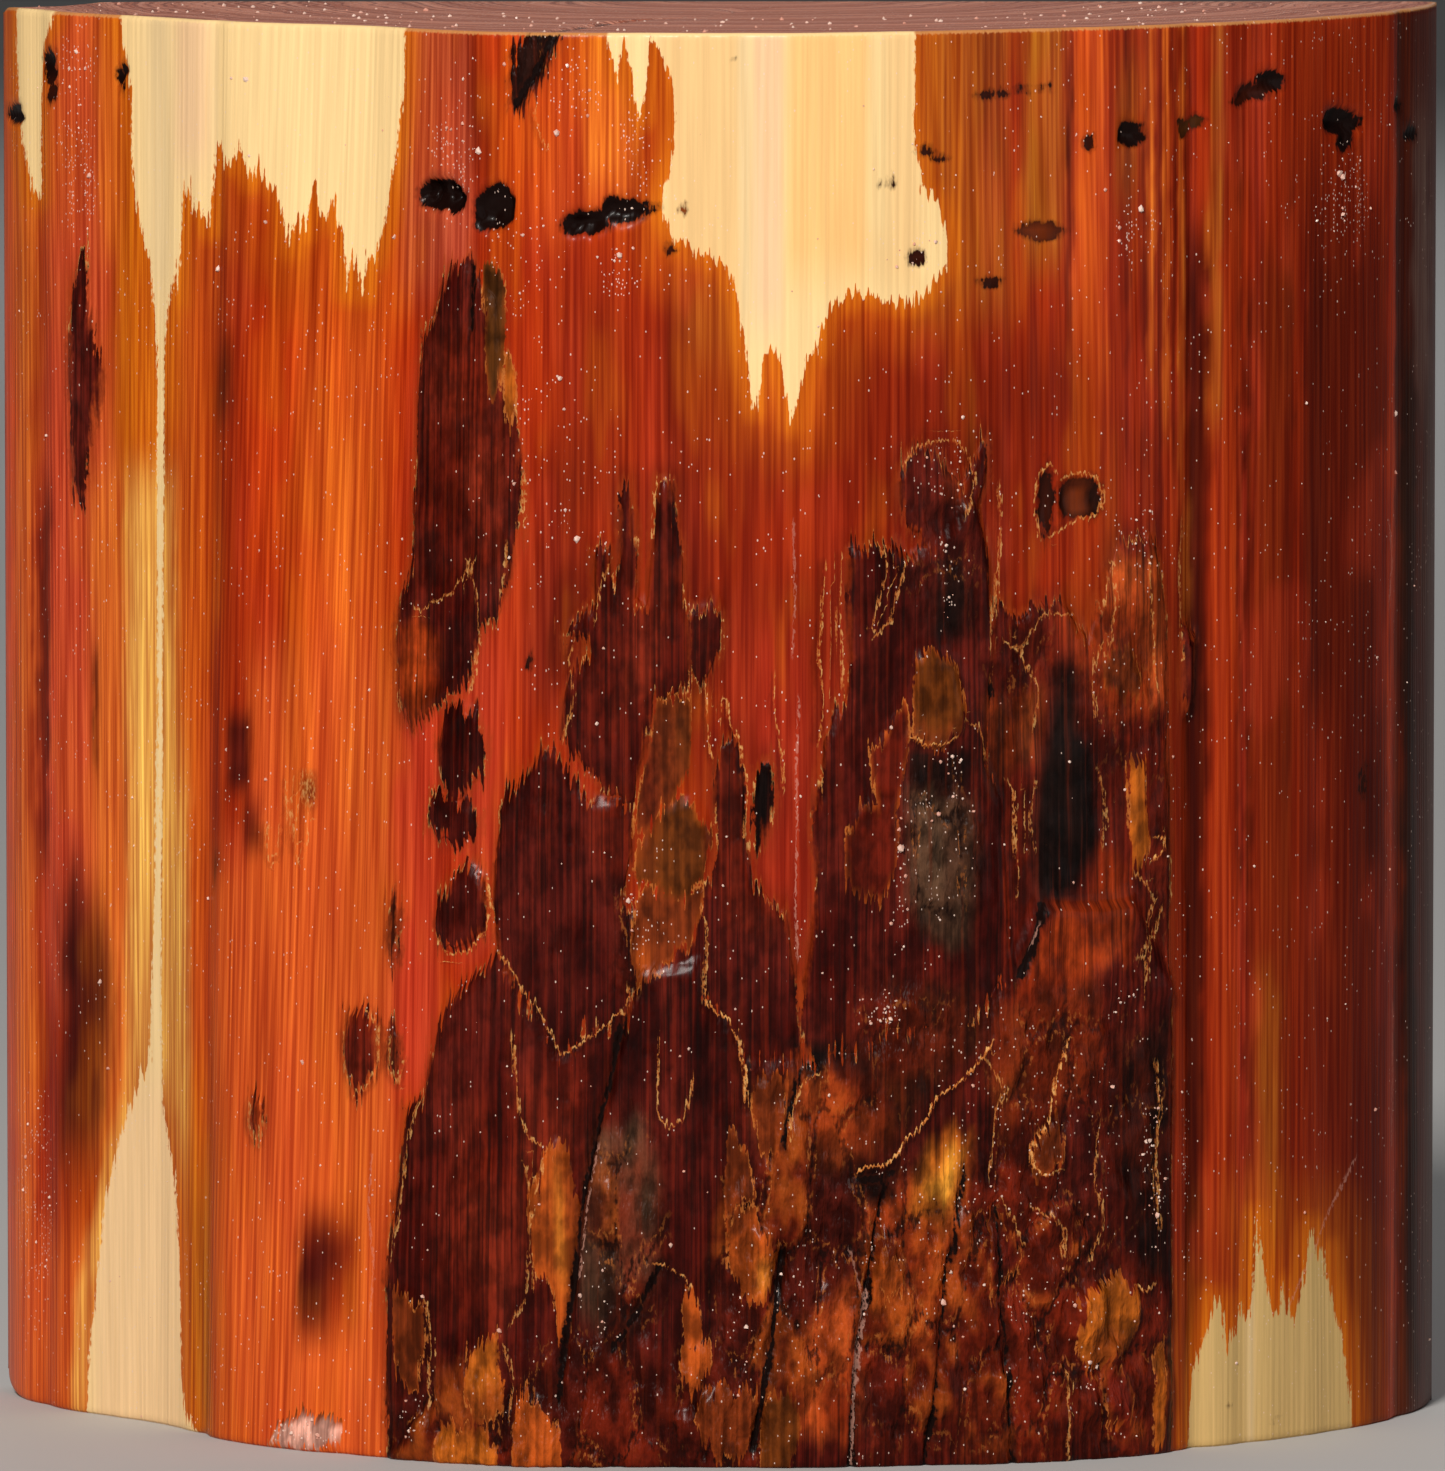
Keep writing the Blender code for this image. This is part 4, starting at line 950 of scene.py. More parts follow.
    def relief(self, angle: Array, u: Array, v: Array, found: dict) -> Array:
        """How far the finished skin stands off the bare outline."""
        bark = ease(found["bark"] * 10, -3, 5)
        rise = -self.section.furrow_depth(angle) * (1 - bark)
        rise += Noise.WAVES.at(u, v) * (1 - bark)
        swell = 0.8 + Noise.SWELL.at(u, v)
        for patch in BARK:
            rise += patch.rise * ease(patch.depth_inside(u, v, 30), -4, 6) * swell
        for patch in FLAKES:
            rise += patch.rise * ease(patch.depth_inside(u, v, 30), -3, 4)
        rise += Noise.CRUMBLE.at(u, v) * (0.22 * bark + 0.85 * found["crust"])
        edge, tone, _ = found["plate"].T
        rise += found["crust"] * (0.32 * tone - 0.30 * ease(-edge, -0.35, -0.05))
        loose = self.loosen(u, v)
        for knot in KNOTS:
            rise -= knot.depth * ease(knot.depth_inside(*loose), -1.5, 6)
        for crack in CRACKS:
            rise -= crack.depth * ease(crack.depth_inside(u, v), -3.5, crack.half_width)
        return rise * ease(-np.abs(angle), -88.0, -82.0)


class Wiring:
    """Adds nodes to one shader tree and links them."""

    REDDENING = 1.8
    COAT_ROUGHNESS = 0.16
    SPECULAR_LEVEL = 0.04

    def __init__(self, tree: bpy.types.NodeTree) -> None:
        """Work on this tree."""
        self.tree = tree

    @classmethod
    def material(cls, name: str) -> tuple["Wiring", bpy.types.Material]:
        """A new material with its own empty tree."""
        made = bpy.data.materials.new(name)
        made.use_nodes = True
        made.node_tree.nodes.clear()
        return cls(made.node_tree), made

    def put(self, kind: str, feeds: dict, out: int | str = 0, **settings: object) -> Socket:
        """Add a node.

        Args:
            kind: Node type.
            feeds: Value or socket for each input, by index or name.
            out: The output wanted.
            settings: Properties of the node.

        Returns:
            That output socket.
        """
        node = self.tree.nodes.new(kind)
        for key, value in settings.items():
            setattr(node, key, value)
        self.feed(node, feeds)
        return node.outputs[out]

    def feed(self, node: bpy.types.Node, feeds: dict) -> None:
        """Link a node's inputs to sockets, or set their values."""
        for key, value in feeds.items():
            if isinstance(value, Socket):
                self.tree.links.new(value, node.inputs[key])
            else:
                node.inputs[key].default_value = value

    def math(self, how: str, a: Feed, b: Feed = 0.0) -> Socket:
        """One arithmetic step."""
        return self.put("ShaderNodeMath", {0: a, 1: b}, operation=how)

    def add(self, *parts: Feed) -> Socket:
        """Sum of values."""
        total = parts[0]
        for part in parts[1:]:
            total = self.math("ADD", total, part)
        return total

    def times(self, *parts: Feed) -> Socket:
        """Product of values."""
        total = parts[0]
        for part in parts[1:]:
            total = self.math("MULTIPLY", total, part)
        return total

    def span(self, value: Feed, low: float, high: float, start: float = 0.0, end: float = 1.0) -> Socket:
        """Smooth step of a value from low to high, sent to start and end."""
        feeds = {"Value": value, "From Min": low, "From Max": high, "To Min": start, "To Max": end}
        return self.put("ShaderNodeMapRange", feeds, interpolation_type="SMOOTHSTEP")

    def mix(self, share: Feed, a: Feed, b: Feed) -> Socket:
        """Colour between a and b."""
        a = a.linear if isinstance(a, Tone) else a
        b = b.linear if isinstance(b, Tone) else b
        return self.put("ShaderNodeMix", {0: share, 6: a, 7: b}, 2, data_type="RGBA")

    def over(self, colour: Feed, tone: Feed, *shares: Feed) -> Socket:
        """Colour with a tone laid over it, as much as the product of the shares."""
        return self.mix(self.times(*shares), colour, tone)

    def vector(self, how: str, a: Feed, b: Feed) -> Socket:
        """One vector step."""
        return self.put("ShaderNodeVectorMath", {0: a, 1: b}, operation=how)

    def xyz(self, *values: Feed) -> Socket:
        """Vector from its first numbers."""
        return self.put("ShaderNodeCombineXYZ", dict(enumerate(values)))

    def x_of(self, vector: Feed) -> Socket:
        """First number of a vector."""
        return self.put("ShaderNodeSeparateXYZ", {0: vector}, "X")

    def gain(self, colour: Feed, amount: Feed) -> Socket:
        """Colour made lighter or darker."""
        return self.put("ShaderNodeVectorMath", {0: colour, "Scale": amount}, operation="SCALE")

    def mix_value(self, share: Feed, a: Feed, b: Feed) -> Socket:
        """Value between a and b."""
        return self.put("ShaderNodeMix", {0: share, 2: a, 3: b}, 0)

    def parts(self, name: str) -> tuple:
        """The three numbers of a stored field."""
        return tuple(self.x_of(self.field(name, "Vector")).node.outputs)

    def stain(self, colour: Feed, amount: Feed) -> Socket:
        """Colour made lighter, or darker and redder."""
        deep = self.math("POWER", amount, self.REDDENING)
        return self.vector("MULTIPLY", colour, self.xyz(amount, deep, deep))

    def stretch(self, place: Feed, across: float, along: float) -> Socket:
        """Place scaled across and along the grain."""
        return self.vector("MULTIPLY", place, (across, along, 1.0))

    def noise(self, place: Feed, across: float, along: float, detail: float) -> Socket:
        """Flat noise, in cells a millimetre across and along the grain."""
        feeds = {"Vector": self.stretch(place, across, along), "Scale": 1.0, "Detail": detail}
        return self.put("ShaderNodeTexNoise", feeds, noise_dimensions="2D")

    def field(self, name: str, out: str = "Fac") -> Socket:
        """A field stored on the mesh."""
        return self.put("ShaderNodeAttribute", {}, out, attribute_name=name)

    def use(self, effect: "Effect", **feeds: Feed) -> Sockets:
        """Place a shared effect.

        Args:
            effect: The effect.
            feeds: Value or socket for each of its inputs.

        Returns:
            Its outputs by name.
        """
        node = self.tree.nodes.new("ShaderNodeGroup")
        node.node_tree = effect.group()
        self.feed(node, feeds)
        return {socket.name: socket for socket in node.outputs}

    def surface(self, colour: Feed, roughness: Feed, height: Feed, coat: float = 0.0) -> None:
        """Finish the tree with a waxed surface.

        Args:
            colour: Base colour.
            roughness: Roughness of the surface.
            height: Relief in millimetres.
            coat: Weight of the wax coat.
        """
        normal = self.put("ShaderNodeBump", {"Height": height, "Distance": MM})
        feeds = {"Base Color": colour, "Roughness": roughness, "Normal": normal}
        feeds |= {"Coat Weight": coat, "Coat Roughness": self.COAT_ROUGHNESS}
        feeds["Specular IOR Level"] = self.SPECULAR_LEVEL
        shader = self.put("ShaderNodeBsdfPrincipled", feeds)
        self.tree.links.new(shader, self.tree.nodes.new("ShaderNodeOutputMaterial").inputs["Surface"])


@dataclass(frozen=True)
class Effect:
    """A shader node group with named inputs and outputs, built once."""

    name: str
    inputs: tuple[tuple[str, str], ...]
    outputs: tuple[tuple[str, str], ...]

    def build(self, w: Wiring, feeds: dict) -> Sockets:
        """Make the effect's nodes and return its outputs by name."""
        raise NotImplementedError

    def group(self) -> bpy.types.NodeTree:
        """The node group, made on first use."""
        made = bpy.data.node_groups.get(self.name)
        if made:
            return made
        made = bpy.data.node_groups.new(self.name, "ShaderNodeTree")
        for way, sockets in (("INPUT", self.inputs), ("OUTPUT", self.outputs)):
            for name, kind in sockets:
                made.interface.new_socket(name=name, in_out=way, socket_type=kind)
        entry, leave = made.nodes.new("NodeGroupInput"), made.nodes.new("NodeGroupOutput")
        for name, socket in self.build(Wiring(made), {s.name: s for s in entry.outputs if s.name}).items():
            made.links.new(socket, leave.inputs[name])
        return made


FLOAT, VECTOR = "NodeSocketFloat", "NodeSocketVector"


@dataclass(frozen=True)
class GrainStreaks(Effect):
    """Streaks down the grain, dark and light threads, and corduroy ridges."""

    name: str = "grain_streaks"
    inputs: tuple = (("Place", VECTOR), ("Sway", FLOAT))
    outputs: tuple = (("Fine", FLOAT), ("Gain", FLOAT), ("Dark", FLOAT), ("Ridge", FLOAT))
    ridge_pitch: float = 0.78
    ridge_sway: float = 5.0

    def build(self, w: Wiring, feeds: dict) -> Sockets:
        """Streak noise stretched along the grain, and a wave across it for the ridges."""
        place = feeds["Place"]
        fine = w.noise(place, 1.7, 0.034, 2.0)
        thread = w.noise(place, 2.7, 0.045, 1.0)
        turns = w.times(w.x_of(place), 2 * math.pi / self.ridge_pitch)
        phase = w.add(turns, w.times(feeds["Sway"], self.ridge_sway))
        ridge = w.add(w.times(w.math("SINE", phase), 0.5), 0.5)
        threads = w.put("ShaderNodeMapRange", {0: thread, 1: 0.32, 2: 0.68, 3: 1.10, 4: 0.87})
        gain = w.times(w.span(fine, 0.26, 0.74, 0.74, 1.26), threads, w.add(0.98, w.times(ridge, 0.04)))
        return {"Fine": fine, "Gain": gain, "Dark": w.span(thread, 0.58, 0.70), "Ridge": ridge}


@dataclass(frozen=True)
class TearNoise(Effect):
    """The push that makes torn edges ragged: long fibres and small chips, both about zero."""

    name: str = "tear_noise"
    inputs: tuple = (("Place", VECTOR),)
    outputs: tuple = (("Fibres", FLOAT), ("Chips", FLOAT))

    def build(self, w: Wiring, feeds: dict) -> Sockets:
        """Two noises."""
        place = feeds["Place"]
        fibres = w.math("SUBTRACT", w.noise(place, 2.7, 0.09, 1.0), 0.5)
        chips = w.math("SUBTRACT", w.noise(place, 2.8, 1.2, 2.0), 0.5)
        return {"Fibres": fibres, "Chips": chips}


@dataclass(frozen=True)
class TornEdge(Effect):
    """Sharpens a stored distance into a mask: spiked along the grain, with a broken rim."""

    name: str = "torn_edge"
    inputs: tuple = tuple((name, FLOAT) for name in ("Depth", "Slope", "Fibres", "Chips", "Jag", "Rim", "Soft", "Lit"))
    outputs: tuple = (("Mask", FLOAT), ("Edge", FLOAT), ("Depth", FLOAT))
    fibre_reach: float = 0.5
    spike_reach: float = 6.0
    chip_reach: float = 0.9
    blur: float = 0.07

    def build(self, w: Wiring, feeds: dict) -> Sockets:
        """The push is added to the distance before it is cut at zero."""
        reach = w.add(self.fibre_reach, w.times(feeds["Slope"], self.spike_reach))
        push = w.add(w.times(feeds["Fibres"], reach), w.times(feeds["Chips"], self.chip_reach))
        depth = w.add(feeds["Depth"], w.times(push, feeds["Jag"]))
        wide = w.add(self.blur, feeds["Soft"])
        ends = {"Value": depth, "From Min": w.times(wide, -1.0), "From Max": wide}
        mask = w.put("ShaderNodeMapRange", ends, interpolation_type="SMOOTHSTEP")
        gap = w.math("DIVIDE", w.math("ABSOLUTE", depth), feeds["Rim"])
        edge = w.times(w.span(gap, 0.4, 1.0, 1.0, 0.0), w.span(feeds["Chips"], -0.12, -0.02), feeds["Lit"])
        return {"Mask": mask, "Edge": w.times(edge, w.span(feeds["Soft"], 0.1, 0.3, 1.0, 0.0)), "Depth": depth}


@dataclass(frozen=True)
class ThreadLine(Effect):
    """Draws a broken, ragged line from a stored distance and share, with a painted shadow along one side of it."""

    name: str = "thread_line"
    inputs: tuple = (("Line", VECTOR), ("Fibres", FLOAT), ("Chips", FLOAT))
    outputs: tuple = (("Mask", FLOAT), ("Side", FLOAT))
    fibre_reach: float = 0.8
    chip_reach: float = 0.7

    def build(self, w: Wiring, feeds: dict) -> Sockets:
        """A band about zero, let through by the chips, and a painted shadow band beside it."""
        gap = w.x_of(feeds["Line"])
        share = gap.node.outputs["Y"]
        at = w.add(gap, w.times(feeds["Fibres"], self.fibre_reach), w.times(feeds["Chips"], self.chip_reach))
        band = w.span(w.math("ABSOLUTE", at), 0.05, 0.16, 1.0, 0.0)
        lit = w.span(feeds["Chips"], -0.14, -0.02)
        shade = w.times(w.span(at, 0.1, 0.25), w.span(at, 0.9, 0.4), share)
        return {"Mask": w.times(band, share, lit), "Side": shade}


@dataclass(frozen=True)
class WaxSpecksAndGlints(Effect):
    """Tiny beads of wax with painted glints of light on them, denser in rows down the grain: cells a millimetre, size
    and share of each kind.
    """

    name: str = "wax_specks_and_glints"
    inputs: tuple = (("Place", VECTOR), ("Rows", FLOAT), ("Density", FLOAT))
    outputs: tuple = (("Mask", FLOAT), ("Dome", FLOAT))
    sizes: tuple = ((1.5, 0.15, 0.4), (3.1, 0.24, 1.0))
    flatness: float = 0.6

    def build(self, w: Wiring, feeds: dict) -> Sockets:
        """Dots of two sizes that a random number and the row noise let through."""
        wanted = w.times(feeds["Density"], w.span(feeds["Rows"], 0.40, 0.66, 0.35, 1.7))
        mask, dome = 0.0, 0.0
        for cells, size, share in self.sizes:
            dots = {"Vector": w.stretch(feeds["Place"], cells, cells * self.flatness), "Scale": 1.0}
            gap = w.put("ShaderNodeTexVoronoi", dots, "Distance", voronoi_dimensions="2D")
            chance = w.put("ShaderNodeSeparateColor", {0: gap.node.outputs["Color"]}, 0)
            open_cell = w.math("LESS_THAN", chance, w.times(wanted, share))
            mask = w.math("MAXIMUM", mask, w.times(w.span(gap, size * 0.6, size, 1.0, 0.0), open_cell))
            dome = w.math("MAXIMUM", dome, w.times(w.span(gap, 0.0, size, 1.0, 0.0), open_cell))
        return {"Mask": mask, "Dome": dome}


@dataclass(frozen=True)
class Mottle(Effect):
    """Crumbly lumps of bark."""

    name: str = "mottle"
    inputs: tuple = (("Place", VECTOR), ("Lump", FLOAT))
    outputs: tuple = (("Height", FLOAT),)

    def build(self, w: Wiring, feeds: dict) -> Sockets:
        """Stored lumps with small noise over them."""
        small = w.noise(feeds["Place"], 1.2, 0.55, 2.0)
        return {"Height": w.add(w.times(feeds["Lump"], 0.20), w.times(small, 0.50), 0.25)}


@dataclass(frozen=True)
class SawMarks(Effect):
    """Shallow scores left by a saw across a flat face."""

    name: str = "saw_marks"
    inputs: tuple = (("Place", VECTOR),)
    outputs: tuple = (("Height", FLOAT), ("Tone", FLOAT))

    def build(self, w: Wiring, feeds: dict) -> Sockets:
        """Long thin noise across the direction of the cut."""
        scores = w.noise(feeds["Place"], 0.05, 2.2, 3.0)
        return {"Height": scores, "Tone": w.span(scores, 0.3, 0.7, 0.88, 1.10)}


class Finish:
    """A finish of the log that makes one material."""

    name = "finish"

    def material(self) -> bpy.types.Material:
        """Build the material."""
        wiring, made = Wiring.material(self.name)
        self.wire(wiring)
        return made

    def wire(self, w: Wiring) -> None:
        """Add the nodes."""
        raise NotImplementedError


@dataclass(frozen=True)
class WaxedRoundSide(Finish):
    """Waxed wood, cream sapwood, bark, flakes, holes and wax beads of the round side, with painted glints on the wax
    and painted shade in holes, cracks and crust gaps.
    """

    name: str = "waxed_round_side"
    coat: float = 0.06

    def edge(self, w: Wiring, tear: dict, name: str, jag: float, rim: float, soft: Feed = 0.0) -> dict:
        """Torn edge of a stored distance."""
        feeds = {"Depth": w.field(name), "Slope": tear.get(name, 0.0), "Jag": jag, "Rim": rim, "Soft": soft}
        return w.use(TornEdge(), Fibres=tear["Fibres"], Chips=tear["Chips"], Lit=tear["Lit"], **feeds)

    def wood(self, w: Wiring, tear: dict, streaks: dict) -> Socket:
        """Streaked heartwood with cream tongues."""
        wood = w.stain(w.field("wood_tint", "Color"), streaks["Gain"])
        cream = self.edge(w, tear, "cream", 0.55, 0.4)
        pale = w.gain(w.field("cream_tint", "Color"), w.span(streaks["Fine"], 0.3, 0.7, 0.92, 1.04))
        return w.mix(cream["Mask"], wood, w.over(pale, T.TAN_CREAM, streaks["Dark"], 0.22))

    def bark(self, w: Wiring, wood: Feed, streaks: dict, lumps: dict, tear: dict, edge: dict) -> Socket:
        """Bark over the wood: dark threads, crust broken into plates with a painted gold highlight on their lit rims
        and painted black shade in the gaps between them, and golden torn edges.
        """
        crust = w.field("crust")
        dark = w.gain(w.field("bark_tint", "Color"), w.span(lumps["Height"], 0.28, 0.72, 0.58, 1.42))
        grained = w.span(streaks["Fine"], 0.32, 0.68, 0.55, 1.30)
        dark = w.gain(dark, w.mix_value(crust, grained, w.span(lumps["Height"], 0.35, 0.65, 0.78, 1.15)))
        dark = w.over(dark, T.RUST, w.span(streaks["Fine"], 0.56, 0.70), 0.16)
        dark = w.over(dark, T.BLACK, streaks["Dark"], w.mix_value(crust, 0.55, 0.12))
        torn = w.add(tear["Plate"], w.times(tear["Chips"], 0.5), w.times(tear["Fibres"], 0.25))
        rim = w.span(w.math("ABSOLUTE", w.math("SUBTRACT", torn, 0.34)), 0.12, 0.03)
        # Painted highlight: gold on the lit rims of the crust's plates
        dark = w.over(dark, T.GOLD, rim, crust, tear["Lit"], w.span(tear["Chips"], -0.04, 0.06), 0.40)
        # Painted shade: black in the gaps between the crust's plates
        dark = w.over(dark, T.BLACK, w.span(torn, 0.20, 0.02), crust, 0.85)
        wood = w.over(wood, T.GLOW, w.span(edge["Depth"], -0.9, 0.0, 0.0, 0.55))
        gold = w.mix(w.span(tear["Chips"], -0.05, 0.15), T.GOLD, T.PALE_GOLD)
        return w.over(w.mix(edge["Mask"], wood, dark), gold, edge["Edge"], 0.65)

    def pits(self, w: Wiring, colour: Feed, tear: dict) -> Socket:
        """Holes, cracks and dark spots in their own tones, black inside the holes and cracks as painted shade, and a
        darker brown band round the rim.
        """
        pit = self.edge(w, tear, "pit", 0.6, 0.2)
        colour = w.over(colour, T.DARK_BROWN, w.span(pit["Depth"], -0.4, 0.1, 0.0, 0.6))
        return w.mix(pit["Mask"], colour, w.field("pit_tone_and_shade", "Color"))

    def wire(self, w: Wiring) -> None:
        """Layer the wood, bark, flakes, pits, threads and wax."""
        place = w.field("grain_place", "Vector")
        streaks = w.use(GrainStreaks(), Place=place, Sway=w.field("sway"))
        lumps = w.use(Mottle(), Place=place, Lump=w.field("lump"))
        tear = dict(w.use(TearNoise(), Place=place))
        tear |= zip(("cream", "bark", "flake"), w.parts("slopes"))
        tear |= zip(("Plate", "Tone", "Lit"), w.parts("plate"))
        soft = w.times(w.span(w.field("lump"), -0.1, 0.5), w.math("SUBTRACT", 1.0, tear["bark"]), 0.7)
        edge = self.edge(w, tear, "bark", 0.75, 0.15, soft)
        flake = self.edge(w, tear, "flake", 0.60, 0.14)
        colour = self.bark(w, self.wood(w, tear, streaks), streaks, lumps, tear, edge)
        flakes = w.gain(w.field("flake_tint", "Color"), w.span(lumps["Height"], 0.3, 0.7, 0.55, 1.45))
        flakes = w.gain(flakes, w.span(streaks["Fine"], 0.3, 0.7, 0.7, 1.25))
        colour = w.mix(flake["Mask"], colour, flakes)
        colour = w.over(colour, T.GOLD, flake["Edge"], 0.65)
        colour = self.pits(w, colour, tear)
        torn = {"Fibres": tear["Fibres"], "Chips": tear["Chips"]}
        thread = w.use(ThreadLine(), Line=w.field("gold_line", "Vector"), **torn)
        # Painted shadow: the colour darkened along one side of each golden thread
        colour = w.over(colour, w.gain(colour, 0.4), thread["Side"], 0.5)
        gold = w.mix(w.span(tear["Chips"], -0.02, 0.16), T.GOLD, T.PALE_GOLD)
        colour = w.over(colour, gold, thread["Mask"], 0.75)
        # Pale scratches, wax runs and painted glint lines
        scratch_and_glint = w.use(ThreadLine(), Line=w.field("pale_line", "Vector"), **(torn | {"Fibres": 0.0}))
        colour = w.over(colour, T.PINK_WAX_AND_GLINT, scratch_and_glint["Mask"], 0.5)
        rim = w.span(w.add(w.field("below_top"), w.times(tear["Chips"], 0.5)), 0.45, 0.20)
        pale = w.mix(w.span(w.field("cream"), -0.2, 0.2), T.RIM_GOLD, T.CREAM)
        colour = w.over(colour, pale, rim, 0.85)
        few = w.span(w.field("bark"), -0.2, 0.4, 1.0, 0.5)
        many = w.add(0.02, w.times(w.field("crumbs"), 0.26))
        density = w.times(few, many, w.span(w.field("lump"), -0.6, 1.0, 0.3, 2.2))
        specks_and_glints = w.use(WaxSpecksAndGlints(), Place=place, Rows=streaks["Fine"], Density=density)
        # Pale wax beads, partly painted glints of light
        colour = w.over(colour, T.WAX_AND_GLINT, specks_and_glints["Mask"], 0.7)
        rough_bark = w.add(w.times(w.field("crust"), 0.7), w.times(w.span(w.field("bark"), -0.1, 0.2), 0.22), 0.02)
        ridges, fine = w.times(streaks["Ridge"], 0.014), w.times(streaks["Fine"], 0.05)
        height = w.add(ridges, fine, w.times(lumps["Height"], rough_bark))
        w.surface(colour, w.add(0.36, w.times(specks_and_glints["Mask"], -0.14)), height, self.coat)


@dataclass(frozen=True)
class SawnEnd(Finish):
    """End grain of the sawn ends: growth rings about the pith, and saw marks, in browns made paler by a painted sheen.
    """

    name: str = "sawn_end"
    pith: tuple[float, float] = (0.004, 0.036)
    flattening: float = 1.2

    def wire(self, w: Wiring) -> None:
        """Rings from the distance to the pith, with cream sapwood at the rim."""
        spot = w.put("ShaderNodeTexCoord", {}, "Object")
        about = w.vector("ADD", spot, (-self.pith[0], -self.pith[1], 0.0))
        about = w.vector("MULTIPLY", about, (1 / MM, self.flattening / MM, 0.0))
        reach = w.put("ShaderNodeVectorMath", {0: about}, "Value", operation="LENGTH")
        wander = w.noise(about, 0.07, 0.07, 2.0)
        ring_place = w.xyz(w.add(reach, w.times(wander, 6.0)))
        rings = w.noise(ring_place, 1.3, 1.0, 2.0)
        wide = w.noise(ring_place, 0.22, 1.0, 1.0)
        marks = w.use(SawMarks(), Place=about)
        colour = w.mix(w.span(wide, 0.35, 0.65), T.SHEEN_END_BROWN, T.SHEEN_END_PALE)
        colour = w.over(colour, T.SHEEN_END_DARK, w.span(rings, 0.50, 0.62), 0.7)
        colour = w.over(colour, T.PINK_WAX_AND_GLINT, w.span(rings, 0.42, 0.34), 0.4)
        colour = w.gain(colour, marks["Tone"])
        rim_share = w.field("rim_share")
        outer = w.span(w.add(rim_share, w.times(wander, 0.02)), 0.945, 0.956)
        colour = w.over(colour, T.CREAM, outer, w.span(w.field("cream"), -0.3, 0.6))
        colour = w.over(colour, T.RIM_GOLD, w.span(rim_share, 0.972, 0.980), 0.6)
        # Painted shade: black in the check across the top
        colour = w.over(colour, T.BLACK, w.span(w.field("pit"), -0.3, 0.2))
        specks_and_glints = w.use(WaxSpecksAndGlints(), Place=about, Rows=wander, Density=0.25)
        # Pale wax beads, partly painted glints of light
        colour = w.over(colour, T.WAX_AND_GLINT, specks_and_glints["Mask"], 0.8)
        height = w.add(w.times(rings, 0.08), w.times(marks["Height"], 0.10), w.times(specks_and_glints["Dome"], 0.12))
        w.surface(colour, w.add(0.50, w.times(marks["Height"], 0.16)), height, 0.05)


@dataclass(frozen=True)
class SawnBack(Finish):
    """Flat sawn back: heartwood figure along the grain under wax, scored by the saw."""

    name: str = "sawn_back"

    def wire(self, w: Wiring) -> None:
        """Long heartwood figure, streaks and saw marks."""
        place = w.field("grain_place", "Vector")
        wander = w.noise(place, 0.03, 0.012, 1.0)
        streaks = w.use(GrainStreaks(), Place=place, Sway=wander)
        marks = w.use(SawMarks(), Place=place)
        off_pith = w.math("ABSOLUTE", w.x_of(place))
        figure = w.xyz(w.add(off_pith, w.times(wander, 40.0)))
        bands = w.noise(figure, 0.35, 1.0, 2.0)
        colour = w.mix(w.span(bands, 0.40, 0.60), T.WARM_BROWN, T.RED_ORANGE)
        colour = w.over(colour, T.BROWN_RED, w.span(bands, 0.56, 0.70), 0.8)
        colour = w.over(colour, T.ORANGE, w.span(off_pith, 73.0, 79.0), 0.8)
        colour = w.gain(colour, w.times(streaks["Gain"], marks["Tone"]))
        colour = w.over(colour, T.DARK_BROWN, streaks["Dark"], 0.5)
        specks_and_glints = w.use(WaxSpecksAndGlints(), Place=place, Rows=streaks["Fine"], Density=0.08)
        # Pale wax beads, partly painted glints of light
        colour = w.over(colour, T.WAX_AND_GLINT, specks_and_glints["Mask"], 0.8)
        height = w.add(w.times(marks["Height"], 0.16), w.times(streaks["Fine"], 0.06))
        w.surface(colour, w.add(0.40, w.times(marks["Height"], 0.14)), height, 0.1)


@dataclass(frozen=True)
class CrumbFinish(Finish):
    """White and pink crumbs of wax."""

    name: str = "wax_crumb"

    def wire(self, w: Wiring) -> None:
        """Pale wax with a little of the wood's colour in it."""
        spot = w.put("ShaderNodeTexCoord", {}, "Object")
        patchy = w.put("ShaderNodeTexNoise", {"Vector": spot, "Scale": 260.0, "Detail": 2.0})
        colour = w.mix(w.span(patchy, 0.42, 0.62), T.WAX_AND_GLINT, T.PINK_WAX_AND_GLINT)
        w.surface(colour, w.span(patchy, 0.3, 0.7, 0.25, 0.4), w.times(patchy, 0.1), 0.2)


@contextmanager
def editing() -> Iterator[None]:
    """Edit mode for a few steps."""
    bpy.ops.object.mode_set(mode="EDIT")
    yield
    bpy.ops.object.mode_set(mode="OBJECT")


def read(items: bpy.types.bpy_prop_collection, name: str, width: int = 1, kind: type = float) -> Array:
    """One property of every item, as rows where it holds several numbers."""
    values = np.empty(len(items) * width, kind)
    items.foreach_get(name, values)
    return values.reshape(-1, width) if width > 1 else values


def deselect_all() -> None:
    """Clear the selection that loading leaves."""
    if bpy.context.object and bpy.context.object.mode != "OBJECT":
        bpy.ops.object.mode_set(mode="OBJECT")
    bpy.ops.object.select_all(action="DESELECT")


def dress(piece: bpy.types.Object, name: str, materials: list[bpy.types.Material]) -> bpy.types.Object:
    """Name a finished piece, give it its materials and put it on the log.

    Args:
        piece: The finished mesh object.
        name: Its name in the table.
        materials: Materials by slot.

    Returns:
        The piece.
    """
    piece.name = piece.data.name = name
    for material in materials:
        piece.data.materials.append(material)
    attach(piece, "root")
    LOG.info("%s: %d faces", name, len(piece.data.polygons))
    return piece


